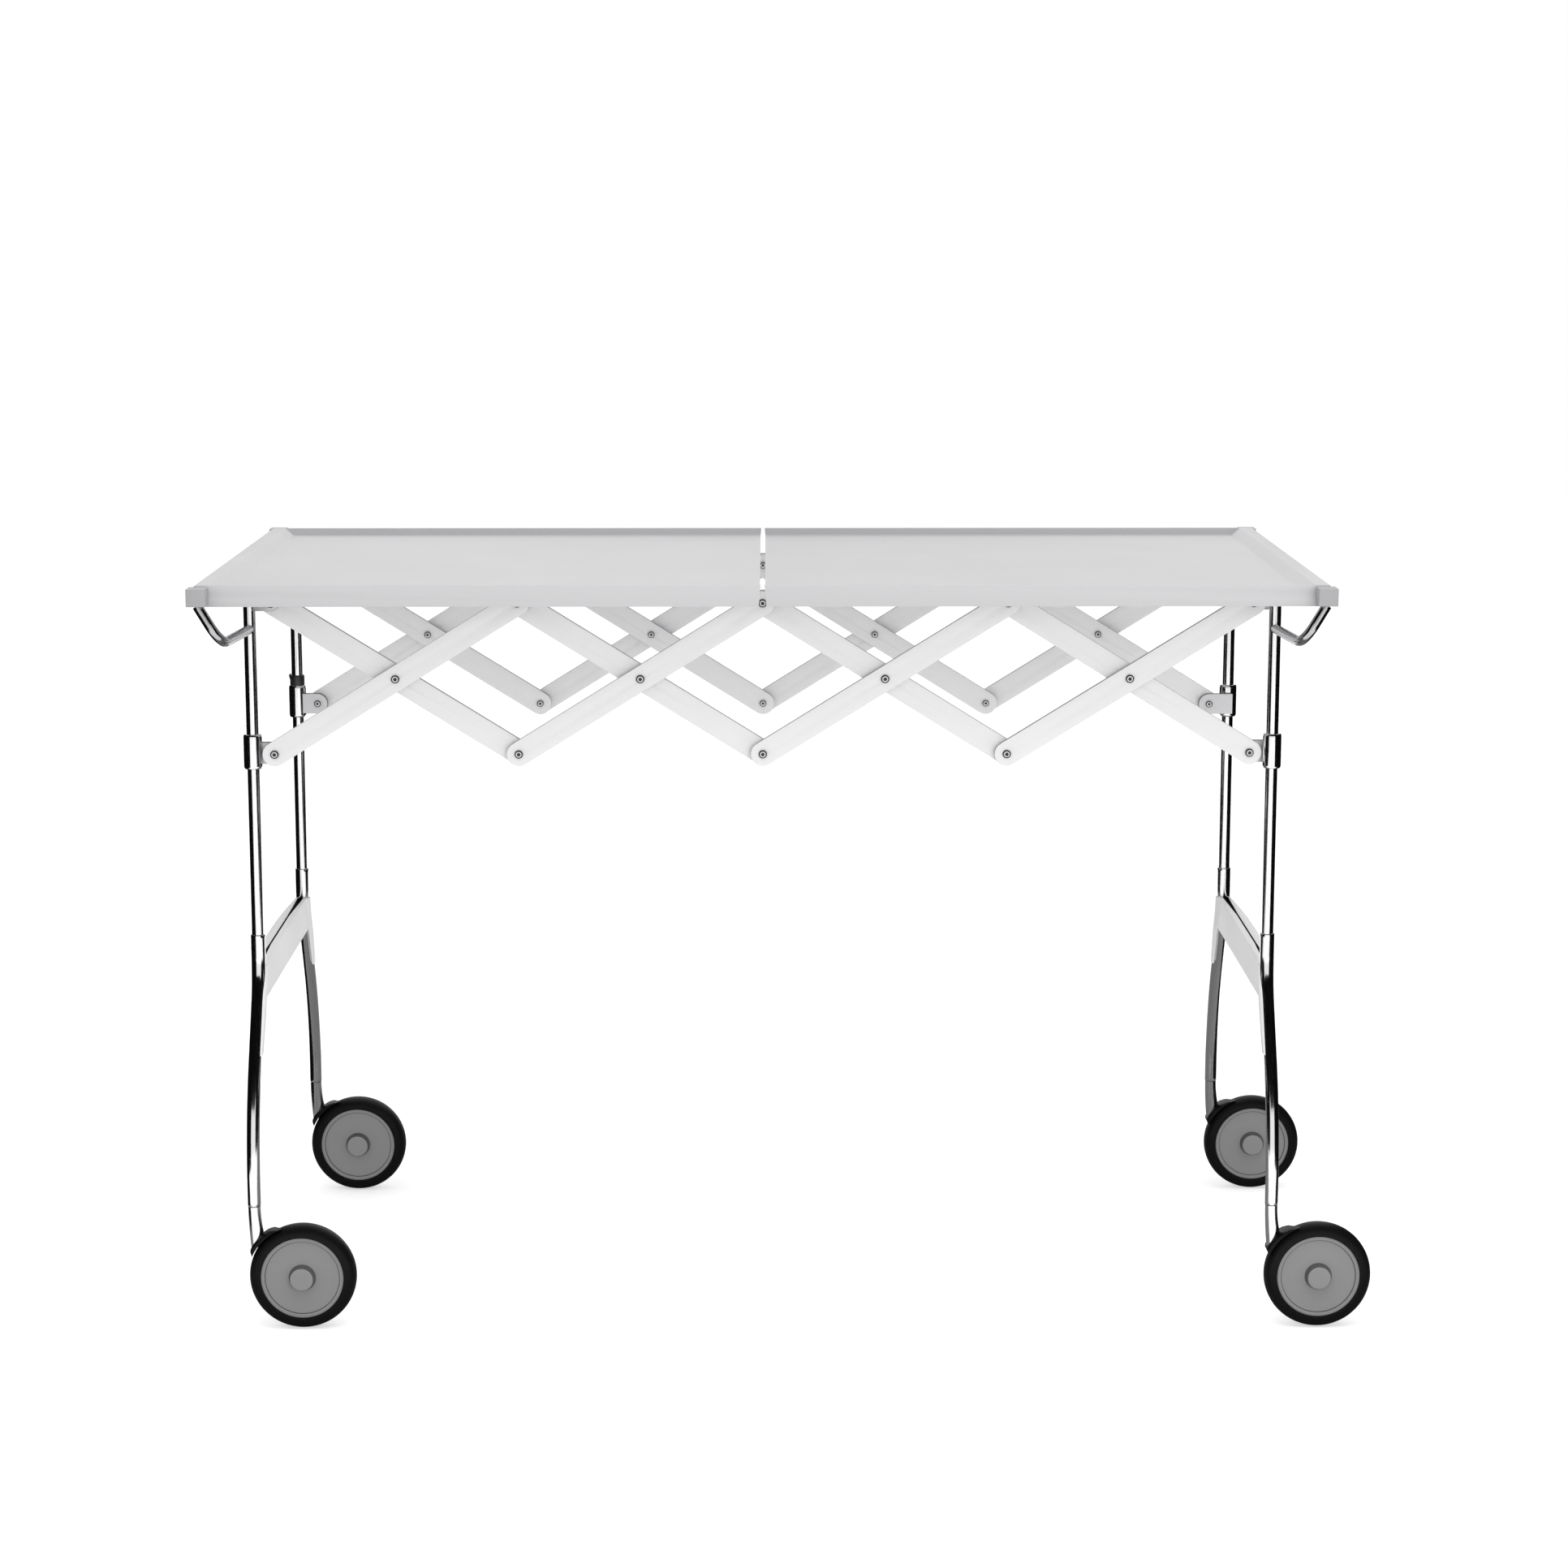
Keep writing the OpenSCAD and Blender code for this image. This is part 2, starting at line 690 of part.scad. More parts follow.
module at_wheel() {
    translate([trail, 0, wheel_r]) rotate([90, 0, 0]) children();
}

// A ring of the stem at the share t of its height: it flares and leans to the right, towards the wheel
function stem_ring(t) =
    let (r = stem_d / 2, right = r + stem_flare * t * t, left = r - stem_tuck * t * t)
    [for (a = [0 : 15 : 345]) [cos(a) * (cos(a) > 0 ? right : left), sin(a) * r, stem_top - t * stem_h]];

// The round outer side of the hood; its centre is set off from the axle
module hood_round() {
    translate(hood_taper * [cos(hood_mid), sin(hood_mid)]) circle(r = hood_out - hood_taper);
}

module castor_stem() {
    color("silver") {
        difference() {
            loft([for (i = [8 : -1 : 0]) stem_ring(i / 8)]);
            at_wheel() linear_extrude(4 * tyre_w, center = true) hood_round();
        }
        translate([0, 0, stem_top - 2]) cylinder(h = swivel_l + 2, d = swivel_d);
    }
}

// The black hood: a short shell over the tyre that thins out to its ends, a back arm to the
// middle, and the axle
module castor_hood() {
    far = 2 * hood_out;
    root = boss_d / 2 - 1;
    color("#1c1c1c") at_wheel() translate([0, 0, -arm_y - hood_t]) {
        linear_extrude(arm_y + hood_t + tyre_w / 2 - hub_inset) difference() {
            intersection() {
                hood_round();
                polygon([[0, 0], far * [cos(hood_from), sin(hood_from)], far * [cos(hood_to), sin(hood_to)]]);
            }
            circle(r = hood_in);
        }
        linear_extrude(hood_t) {
            circle(d = boss_d);
            intersection() {
                circle(r = hood_in + 0.5);
                polygon([
                    root * [cos(hood_from - 70), sin(hood_from - 70)],
                    far * [cos(hood_from), sin(hood_from)],
                    far * [cos(hood_to), sin(hood_to)],
                    root * [cos(hood_to + 70), sin(hood_to + 70)]
                ]);
            }
        }
        translate([0, 0, hood_t / 2]) cylinder(h = arm_y + hood_t / 2 + axle_in, d = axle_d);
    }
}

// The tyre: a flat tread with round shoulders
module tyre() {
    color("#202020") at_wheel() rotate_extrude() intersection() {
        union() {
            translate([hub_r, -tyre_w / 2 + shoulder_r]) square([wheel_r - hub_r, tyre_w - 2 * shoulder_r]);
            translate([0, -tyre_w / 2]) square([wheel_r - shoulder_r, tyre_w]);
            for (s = [-1, 1])
                translate([wheel_r - shoulder_r, s * (tyre_w / 2 - shoulder_r)]) circle(r = shoulder_r);
        }
        translate([hub_r, -tyre_w]) square([wheel_r, 2 * tyre_w]);
    }
}

// The hub: a dished disc with a lip round it and a raised cap that covers the axle
module hub() {
    r = hub_r;
    face = disc_out - disc_recess;
    back = tyre_w / 2 - hub_inset;
    boss = boss_d / 2;
    color("darkgray") at_wheel() difference() {
        rotate_extrude() polygon([
            [0, -back], [boss - 1, -back], [boss + 1, -back + 5], [r - 2 * lip_w, -back + 5],
            [r - 1.5 * lip_w, -back], [r, -back], [r, disc_out - 0.6], [r - 0.6, disc_out],
            [r - lip_w + 0.4, disc_out],
            [r - lip_w, face], [cap_d / 2, face], [cap_front_d / 2, face + cap_h - 0.6],
            [cap_front_d / 2 - 0.6, face + cap_h], [0, face + cap_h]
        ]);
        translate([0, 0, -back - 1]) cylinder(h = back + 1 + axle_in + 1, r = axle_d / 2 + run_fit);
    }
}

// ---------------------------------------------------------------- the pieces in place

module placed() {
    translate([mid_x, 0, 0]) children();
}

for (k = [1 : 4]) for (s = [-1, 1]) {
    end = s < 0 ? "front" : "back";
    placed() slat_a(k, s);
    placed() slat_b(k, s);
}
for (k = [1 : 4]) placed() screws_b(k);
placed() screws_top_left();
placed() screws_foot_right();
placed() lugs(back_layer);  // lugs_left
placed() at_side(1) lugs(lug_layer);  // lugs_right
placed() brackets(front_layer);  // brackets_left
placed() at_side(1) brackets(back_layer);  // brackets_right
placed() lock_collar();
for (i = [0, 1]) {
    side = SIDES[i];
    s = 2 * i - 1;
    placed() at_side(s) uprights();
    placed() at_side(s) sleeves();
    placed() at_side(s) crossbar();
    placed() at_side(s) tray_arms();
    placed() at_side(s) hinge_bar();
    placed() at_side(s) tray();
}
for (c = CORNERS) {
    placed() at_side(side_x(c)) at_depth(side_y(c)) lower_leg();
    placed() at_castor(c) castor_stem();
    placed() at_castor(c) castor_hood();
    placed() at_castor(c) tyre();
    placed() at_castor(c) hub();
}
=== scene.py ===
# The looks of a folding room service table, in metres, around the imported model.
import math

import bmesh
import bpy
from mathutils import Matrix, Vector


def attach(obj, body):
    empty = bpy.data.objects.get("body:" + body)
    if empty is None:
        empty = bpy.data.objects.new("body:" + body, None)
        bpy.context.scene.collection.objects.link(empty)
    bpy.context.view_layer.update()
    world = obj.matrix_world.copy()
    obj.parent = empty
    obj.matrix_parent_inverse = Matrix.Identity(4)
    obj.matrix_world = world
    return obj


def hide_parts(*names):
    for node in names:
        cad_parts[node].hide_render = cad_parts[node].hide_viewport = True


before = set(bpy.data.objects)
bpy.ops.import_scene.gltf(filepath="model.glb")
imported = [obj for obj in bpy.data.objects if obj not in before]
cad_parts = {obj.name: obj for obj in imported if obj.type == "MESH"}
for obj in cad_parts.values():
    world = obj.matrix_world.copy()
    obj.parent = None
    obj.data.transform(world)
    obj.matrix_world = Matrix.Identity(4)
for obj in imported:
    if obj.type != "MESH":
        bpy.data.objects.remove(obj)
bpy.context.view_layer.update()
scene = bpy.context.scene


# ---------------------------------------------------------------- camera
# The photograph's viewpoint: a long lens a little over three metres in front of the table,
# about one metre above the floor, tipped ten degrees down.
CAMERA_PLACE = (-0.02385, -3.282, 1.048)
CAMERA_TIP = 10.02
CAMERA_TURN = -0.295
CAMERA_LENS = 79.49
CAMERA_SENSOR = 36

lens = bpy.data.cameras.new("camera")
lens.sensor_width = CAMERA_SENSOR
lens.lens = CAMERA_LENS
camera = bpy.data.objects.new("camera", lens)
camera.location = CAMERA_PLACE
camera.rotation_euler = (math.radians(90 - CAMERA_TIP), 0, math.radians(CAMERA_TURN))
scene.collection.objects.link(camera)
scene.camera = camera
scene.view_settings.view_transform = "Standard"


# ---------------------------------------------------------------- studio
# A white floor and a white room, with soft lamps above and in front. Only reflections see the
# black and grey cards beside, above and under the table, which give its tubes their dark edges.
ROOM_FILL = 0.70
FLOOR_COLOUR = (0.80, 0.80, 0.80, 1)
FLOOR_GLOW = 0.53
FLOOR_SIZE = 16.0
BLACK = (0.004, 0.004, 0.004, 1)
GREY = (0.26, 0.26, 0.26, 1)
# Each side card: its name, its near and far edge to the side, and its front edge.
SIDE_CARDS = (("behind", 0.75, 1.10, -0.40), ("beside", 1.10, 3.2, -1.6))
SIDE_CARD_BACK = 4.0
SIDE_CARD_HEIGHT = 0.002
CARD_WALL_OUT = 1.6
CARD_WALL_FRONT = -2.2
CARD_WALL_BACK = 3.0
CARD_WALL_TOP = 2.2
# Each lamp: its name, its place, its width in metres and its power in watts.
LAMPS = (("lamp_above", (0.2, -0.9, 3.2), 2.6, 34), ("lamp_front", (1.0, -3.6, 0.9), 1.8, 28))
LAMP_AIM = (0, 0, 0.4)


def seen_rays(tree):
    """1 for what the camera, a reflection or a transmission sees directly, and 0 for light."""
    path = tree.nodes.new("ShaderNodeLightPath")
    first = tree.nodes.new("ShaderNodeMath")
    first.operation = "MAXIMUM"
    tree.links.new(path.outputs["Is Camera Ray"], first.inputs[0])
    tree.links.new(path.outputs["Is Glossy Ray"], first.inputs[1])
    second = tree.nodes.new("ShaderNodeMath")
    second.operation = "MAXIMUM"
    tree.links.new(first.outputs[0], second.inputs[0])
    tree.links.new(path.outputs["Is Transmission Ray"], second.inputs[1])
    return second.outputs[0]


world = bpy.data.worlds.new("white_room")
world.use_nodes = True
scene.world = world
room = world.node_tree
room_strength = room.nodes.new("ShaderNodeMapRange")
room_strength.inputs["To Min"].default_value = ROOM_FILL
room_strength.inputs["To Max"].default_value = 1.0
room.links.new(seen_rays(room), room_strength.inputs["Value"])
room.nodes["Background"].inputs["Color"].default_value = (1, 1, 1, 1)
room.links.new(room_strength.outputs["Result"], room.nodes["Background"].inputs["Strength"])


def matt_paint(name, colour):
    """Paint without any gloss."""
    material = bpy.data.materials.new(name)
    material.use_nodes = True
    shader = material.node_tree.nodes["Principled BSDF"]
    shader.inputs["Base Color"].default_value = colour
    shader.inputs["Roughness"].default_value = 1.0
    shader.inputs["Specular IOR Level"].default_value = 0.0
    return material


def sheet(name, corners, material):
    """A flat four-cornered sheet of the studio."""
    mesh = bpy.data.meshes.new(name)
    mesh.from_pydata(corners, [], [(0, 1, 2, 3)])
    mesh.materials.append(material)
    piece = bpy.data.objects.new(name, mesh)
    scene.collection.objects.link(piece)
    return piece


def level_sheet(name, x0, x1, y0, y1, z, material):
    """A level sheet between two values of X and two of Y."""
    return sheet(name, [(x0, y0, z), (x1, y0, z), (x1, y1, z), (x0, y1, z)], material)


def reflected_only(piece):
    """Hides a card from the camera and from the light, so that only reflections show it."""
    piece.visible_camera = False
    piece.visible_diffuse = False
    piece.visible_shadow = False
    piece.visible_transmission = False


floor_paint = matt_paint("white_floor", FLOOR_COLOUR)
paint = floor_paint.node_tree.nodes["Principled BSDF"]
paint.inputs["Emission Color"].default_value = (1, 1, 1, 1)
floor_lift = floor_paint.node_tree.nodes.new("ShaderNodeMath")
floor_lift.operation = "MULTIPLY"
floor_lift.inputs[1].default_value = FLOOR_GLOW
floor_paint.node_tree.links.new(seen_rays(floor_paint.node_tree), floor_lift.inputs[0])
floor_paint.node_tree.links.new(floor_lift.outputs[0], paint.inputs["Emission Strength"])
half = FLOOR_SIZE / 2
level_sheet("floor", -half, half, -half, half, 0, floor_paint)

black_paint = matt_paint("black_card", BLACK)
grey_paint = matt_paint("grey_card", GREY)
reflected_only(level_sheet("card_above", -4.0, 4.0, -7.0, 0.4, 2.5, black_paint))
reflected_only(level_sheet("card_below", -0.75, 0.75, -0.40, 0.80, 0.001, grey_paint))
for side, sign in (("left", -1), ("right", 1)):
    for place, start, stop, front in SIDE_CARDS:
        near, far = sorted((sign * start, sign * stop))
        reflected_only(level_sheet(f"card_{place}_{side}", near, far, front, SIDE_CARD_BACK,
                                   SIDE_CARD_HEIGHT, black_paint))
    x = sign * CARD_WALL_OUT
    wall = [(x, CARD_WALL_FRONT, 0), (x, CARD_WALL_BACK, 0), (x, CARD_WALL_BACK, CARD_WALL_TOP),
            (x, CARD_WALL_FRONT, CARD_WALL_TOP)]
    reflected_only(sheet(f"card_wall_{side}", wall, black_paint))

for name, place, size, power in LAMPS:
    lamp = bpy.data.lights.new(name, "AREA")
    lamp.size = size
    lamp.energy = power
    stand = bpy.data.objects.new(name, lamp)
    stand.location = place
    stand.rotation_euler = (Vector(LAMP_AIM) - Vector(place)).to_track_quat("-Z", "Y").to_euler()
    stand.visible_glossy = False
    scene.collection.objects.link(stand)


# ---------------------------------------------------------------- trays
# Two shallow trays, moulded from light grey plastic with a fine matt grain. Each has a rim on
# three sides and a level border over its hinge rod, and is open towards the other tray.
TRAY_GREY = (0.62, 0.62, 0.63, 1)
# Painted shade: the inner walls of the long rims take a darker grey than the tray.
TRAY_PAINTED_WALL_SHADE = (0.46, 0.46, 0.47, 1)
# Painted shade: the crests of the long rims take a darker grey still.
TRAY_PAINTED_CREST_SHADE = (0.36, 0.36, 0.37, 1)
TRAY_EDGE = 0.0009
RIM_INNER = 0.2455
RIM_OUTER = 0.2480
CREST_INNER = 0.2462
CREST_HEIGHT = 0.6886
PATCH_LOW = 0.3
PATCH_HIGH = 0.7
SHARP_FROM = 34
FLAT_UNDER = 0.6
EASING_STEPS = 3


def grain_group():
    """Fine grain and broad, faint patches, both from a vector in metres."""
    group = bpy.data.node_groups.new("fine_grain", "ShaderNodeTree")
    for label, kind in (("Vector", "Vector"), ("Grain Scale", "Float"), ("Patch Scale", "Float")):
        group.interface.new_socket(label, in_out="INPUT", socket_type=f"NodeSocket{kind}")
    for label in ("Grain", "Patch"):
        group.interface.new_socket(label, in_out="OUTPUT", socket_type="NodeSocketFloat")
    source = group.nodes.new("NodeGroupInput")
    result = group.nodes.new("NodeGroupOutput")
    for label, detail in (("Grain", 3.0), ("Patch", 2.0)):
        noise = group.nodes.new("ShaderNodeTexNoise")
        noise.inputs["Detail"].default_value = detail
        group.links.new(source.outputs["Vector"], noise.inputs["Vector"])
        group.links.new(source.outputs[f"{label} Scale"], noise.inputs["Scale"])
        group.links.new(noise.outputs["Fac"], result.inputs[label])
    return group


fine_grain = grain_group()


def surface(name, colour, roughness, grain, depth, patch, patch_scale=9.0, metallic=0.0,
            spread=0.05, shine=0.5):
    """A material with a grain of its own size and depth, and a little variation over it.

    The colour varies by the fraction patch, and the roughness by spread.
    """
    material = bpy.data.materials.new(name)
    material.use_nodes = True
    tree = material.node_tree
    shader = tree.nodes["Principled BSDF"]
    shader.inputs["Metallic"].default_value = metallic
    shader.inputs["Specular IOR Level"].default_value = shine
    place = tree.nodes.new("ShaderNodeTexCoord")
    texture = tree.nodes.new("ShaderNodeGroup")
    texture.node_tree = fine_grain
    texture.inputs["Grain Scale"].default_value = grain
    texture.inputs["Patch Scale"].default_value = patch_scale
    tree.links.new(place.outputs["Object"], texture.inputs["Vector"])
    tint = tree.nodes.new("ShaderNodeMix")
    tint.data_type = "RGBA"
    tint.inputs["A"].default_value = tuple(c * (1 - patch) for c in colour[:3]) + (1,)
    tint.inputs["B"].default_value = tuple(min(1, c * (1 + patch)) for c in colour[:3]) + (1,)
    tree.links.new(texture.outputs["Patch"], tint.inputs["Factor"])
    tree.links.new(tint.outputs["Result"], shader.inputs["Base Color"])
    gloss = tree.nodes.new("ShaderNodeMapRange")
    gloss.inputs["From Min"].default_value = PATCH_LOW
    gloss.inputs["From Max"].default_value = PATCH_HIGH
    gloss.inputs["To Min"].default_value = roughness - spread
    gloss.inputs["To Max"].default_value = roughness + spread
    tree.links.new(texture.outputs["Patch"], gloss.inputs["Value"])
    tree.links.new(gloss.outputs["Result"], shader.inputs["Roughness"])
    bump = tree.nodes.new("ShaderNodeBump")
    bump.inputs["Strength"].default_value = 1.0
    bump.inputs["Distance"].default_value = depth
    tree.links.new(texture.outputs["Grain"], bump.inputs["Height"])
    tree.links.new(bump.outputs["Normal"], shader.inputs["Normal"])
    return material


def plain_object(name, mesh, material=None, sharp=SHARP_FROM):
    """An object at the origin with smooth faces and crisp edges."""
    mesh.shade_smooth()
    mesh.set_sharp_from_angle(angle=math.radians(sharp))
    if material:
        mesh.materials.clear()
        mesh.materials.append(material)
    piece = bpy.data.objects.new(name, mesh)
    scene.collection.objects.link(piece)
    return piece


def finished(holder, name, material=None, sharp=SHARP_FROM):
    """Turns what the modifiers of holder make into a plain object and removes holder."""
    graph = bpy.context.evaluated_depsgraph_get()
    mesh = bpy.data.meshes.new_from_object(holder.evaluated_get(graph), depsgraph=graph)
    bpy.data.objects.remove(holder)
    return plain_object(name, mesh, material, sharp)


def eased(holder, width, angle=SHARP_FROM):
    """Adds a rounding along the sharp edges."""
    rounding = holder.modifiers.new("rounding", "BEVEL")
    rounding.width = width
    rounding.segments = EASING_STEPS
    rounding.limit_method = "ANGLE"
    rounding.angle_limit = math.radians(angle)
    return holder


def merged_copy(node, name):
    """An object with the shape of a node, with whole faces in place of triangles."""
    build = bmesh.new()
    build.from_mesh(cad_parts[node].data)
    bmesh.ops.remove_doubles(build, verts=build.verts, dist=1e-6)
    bmesh.ops.dissolve_limit(build, angle_limit=math.radians(FLAT_UNDER), verts=build.verts,
                             edges=build.edges)
    mesh = bpy.data.meshes.new(name)
    build.to_mesh(mesh)
    build.free()
    holder = bpy.data.objects.new(name, mesh)
    scene.collection.objects.link(holder)
    return holder


def fit(piece, body, slot, *nodes):
    """The piece moves with a body and takes the place of some nodes."""
    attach(piece, body)
    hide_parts(*nodes)


def paint_shade_on_faces(piece, material, test):
    """Gives the faces of a piece that pass a test another, darker material, a painted shade."""
    piece.data.materials.append(material)
    for face in piece.data.polygons:
        if test(face):
            face.material_index = len(piece.data.materials) - 1


def painted_shade_on_rim_insides(face):
    """The inner side of a long rim, which takes a painted shade."""
    return abs(face.normal.y) > 0.7 and RIM_INNER < abs(face.center.y) < RIM_OUTER


def painted_shade_on_rim_tops(face):
    """The top of a long rim, which takes a darker painted shade."""
    return abs(face.center.y) > CREST_INNER and face.center.z > CREST_HEIGHT


tray_plastic = surface("tray_plastic", TRAY_GREY, roughness=0.48, grain=900.0, depth=0.00006,
                       patch=0.012)
tray_painted_wall_shade = surface("tray_plastic_painted_wall_shade", TRAY_PAINTED_WALL_SHADE, roughness=0.48, grain=900.0,
                    depth=0.00006, patch=0.012)
tray_painted_crest_shade = surface("tray_plastic_painted_crest_shade", TRAY_PAINTED_CREST_SHADE, roughness=0.44, grain=900.0,
                    depth=0.00004, patch=0.012)
for side in ("left", "right"):
    tray = eased(merged_copy(f"tray_{side}", "tray_shape"), TRAY_EDGE)
    tray = finished(tray, f"tray_moulding_{side}", tray_plastic)
    # Painted shade on the inner walls of the long rims.
    paint_shade_on_faces(tray, tray_painted_wall_shade, painted_shade_on_rim_insides)
    # Painted shade on the crests of the long rims.
    paint_shade_on_faces(tray, tray_painted_crest_shade, painted_shade_on_rim_tops)
    fit(tray, f"{side}_tray", "tray", f"tray_{side}")


# ---------------------------------------------------------------- hinge bars
# A steel rod under each tray's outer border, with a square grey plastic block on either end.
BLOCK_GREY = (0.42, 0.42, 0.43, 1)
BLOCK_EDGE = 0.0018

block_plastic = surface("block_plastic", BLOCK_GREY, roughness=0.42, grain=700.0, depth=0.00005,
                        patch=0.02)
for side in ("left", "right"):
    bar = eased(merged_copy(f"hinge_bar_{side}", "hinge_shape"), BLOCK_EDGE)
    fit(finished(bar, f"hinge_rod_{side}", block_plastic), f"{side}_end", "end_block",
        f"hinge_bar_{side}")


# ---------------------------------------------------------------- lattice links
# Sixteen flat bars with round ends, cut from aluminium and powder coated in a pale grey. Each
# is drilled at both ends and in the middle, and its narrow edges carry a painted shade, darker than
# its faces.
LINK_PITCH = 0.223
LINK_ANGLE = math.radians(31.9)
LINK_WIDTH = 0.022
LINK_THICK = 0.006
LINK_HOLE = 0.0041
LINK_EDGE = 0.0007
END_STEPS = 20
HOLE_STEPS = 24
EDGE_LEAN = 0.75
LATTICE_DEPTH = 0.154
LAYER_GAP = 0.001
TABLE_MIDDLE = -0.02715
UPPER_PIVOTS = 0.663
COAT_GREY = (0.91, 0.91, 0.915, 1)
# Painted shade: a darker grey for the links' narrow edges.
LINK_PAINTED_EDGE_SHADE = (0.42, 0.42, 0.43, 1)
ROUND_FROM = 60

pivot_rise = LINK_PITCH * math.tan(LINK_ANGLE)
layer_of = {"b": LATTICE_DEPTH + (LAYER_GAP + LINK_THICK) / 2,
            "a": LATTICE_DEPTH - (LAYER_GAP + LINK_THICK) / 2}


def arc(centre, radius, start, end, steps):
    """Points on an arc in X and Z, from one angle to another."""
    turns = [start + (end - start) * i / steps for i in range(steps + 1)]
    return [(centre + radius * math.cos(t), 0, radius * math.sin(t)) for t in turns]


def link_blank():
    """A drilled bar along X, in the middle of its thickness and its length."""
    reach = LINK_PITCH / math.cos(LINK_ANGLE) / 2
    quarter = math.pi / 2
    rows = [arc(reach, LINK_WIDTH / 2, -quarter, quarter, END_STEPS)
            + arc(-reach, LINK_WIDTH / 2, quarter, 3 * quarter, END_STEPS)]
    rows += [arc(x, LINK_HOLE / 2, 0, math.tau, HOLE_STEPS)[:-1] for x in (-reach, 0, reach)]
    build = bmesh.new()
    edges = []
    for row in rows:
        points = [build.verts.new(Vector(p) + Vector((0, -LINK_THICK / 2, 0))) for p in row]
        edges += [build.edges.new((points[i - 1], points[i])) for i in range(len(points))]
    bmesh.ops.triangle_fill(build, edges=edges, use_beauty=True)
    flat = build.faces[:] + build.edges[:] + build.verts[:]
    plate = bmesh.ops.extrude_face_region(build, geom=flat)
    for part in plate["geom"]:
        if isinstance(part, bmesh.types.BMVert):
            part.co.y += LINK_THICK
    bmesh.ops.recalc_face_normals(build, faces=build.faces)
    bmesh.ops.dissolve_limit(build, angle_limit=math.radians(1), verts=build.verts,
                             edges=build.edges)
    mesh = bpy.data.meshes.new("link_blank")
    build.to_mesh(mesh)
    build.free()
    holder = bpy.data.objects.new("link_blank", mesh)
    scene.collection.objects.link(holder)
    drilled = finished(eased(holder, LINK_EDGE), "link_blank")
    mesh = drilled.data
    bpy.data.objects.remove(drilled)
    return mesh


def new_tree(name, inputs):
    """An empty geometry tree with named inputs, and its two end nodes."""
    tree = bpy.data.node_groups.new(name, "GeometryNodeTree")
    tree.interface.new_socket("Geometry", in_out="INPUT", socket_type="NodeSocketGeometry")
    tree.interface.new_socket("Geometry", in_out="OUTPUT", socket_type="NodeSocketGeometry")
    for label, kind in inputs:
        tree.interface.new_socket(label, in_out="INPUT", socket_type=f"NodeSocket{kind}")
    return tree, tree.nodes.new("NodeGroupInput"), tree.nodes.new("NodeGroupOutput")


def made_by(tree, start, name, sharp=SHARP_FROM, rounding=0, **values):
    """Runs a tree on a mesh and returns what it makes as a plain object."""
    holder = bpy.data.objects.new(f"{name}_maker", start)
    scene.collection.objects.link(holder)
    maker = holder.modifiers.new("made", "NODES")
    maker.node_group = tree
    sockets = {item.name: item.identifier for item in tree.interface.items_tree
               if item.in_out == "INPUT"}
    for label, value in values.items():
        maker[sockets[label.replace("_", " ")]] = value
    if rounding:
        eased(holder, rounding, ROUND_FROM)
    return finished(holder, name, None, sharp)


def copies_tree():
    """The start shape, turned about Y, once in the front lattice and once in the back one."""
    tree, source, result = new_tree("link_pair", (
        ("Middle", "Vector"), ("Slope", "Float"), ("Depth", "Float"), ("Finish", "Material"),
        ("Edge Finish", "Material")))
    turn = tree.nodes.new("ShaderNodeCombineXYZ")
    tree.links.new(source.outputs["Slope"], turn.inputs["Y"])
    start = tree.nodes.new("ShaderNodeVectorMath")
    start.operation = "SUBTRACT"
    tree.links.new(source.outputs["Middle"], start.inputs[0])
    depth = tree.nodes.new("ShaderNodeCombineXYZ")
    tree.links.new(source.outputs["Depth"], depth.inputs["Y"])
    tree.links.new(depth.outputs[0], start.inputs[1])
    step = tree.nodes.new("ShaderNodeVectorMath")
    step.operation = "SCALE"
    step.inputs["Scale"].default_value = 2.0
    tree.links.new(depth.outputs[0], step.inputs[0])
    line = tree.nodes.new("GeometryNodeMeshLine")
    line.inputs["Count"].default_value = 2
    tree.links.new(start.outputs[0], line.inputs["Start Location"])
    tree.links.new(step.outputs[0], line.inputs["Offset"])
    place = tree.nodes.new("GeometryNodeInstanceOnPoints")
    tree.links.new(line.outputs["Mesh"], place.inputs["Points"])
    tree.links.new(source.outputs["Geometry"], place.inputs["Instance"])
    tree.links.new(turn.outputs[0], place.inputs["Rotation"])
    real = tree.nodes.new("GeometryNodeRealizeInstances")
    tree.links.new(place.outputs[0], real.inputs[0])
    coat = tree.nodes.new("GeometryNodeSetMaterial")
    tree.links.new(real.outputs[0], coat.inputs["Geometry"])
    tree.links.new(source.outputs["Finish"], coat.inputs["Material"])
    # Painted shade: the narrow faces, which lean away from Y, take the edge shade material.
    facing = tree.nodes.new("GeometryNodeInputNormal")
    split = tree.nodes.new("ShaderNodeSeparateXYZ")
    tree.links.new(facing.outputs[0], split.inputs[0])
    lean = tree.nodes.new("ShaderNodeMath")
    lean.operation = "ABSOLUTE"
    tree.links.new(split.outputs["Y"], lean.inputs[0])
    narrow = tree.nodes.new("ShaderNodeMath")
    narrow.operation = "LESS_THAN"
    narrow.inputs[1].default_value = EDGE_LEAN
    tree.links.new(lean.outputs[0], narrow.inputs[0])
    edge = tree.nodes.new("GeometryNodeSetMaterial")
    tree.links.new(coat.outputs[0], edge.inputs["Geometry"])
    tree.links.new(narrow.outputs[0], edge.inputs["Selection"])
    tree.links.new(source.outputs["Edge Finish"], edge.inputs["Material"])
    tree.links.new(edge.outputs[0], result.inputs[0])
    return tree


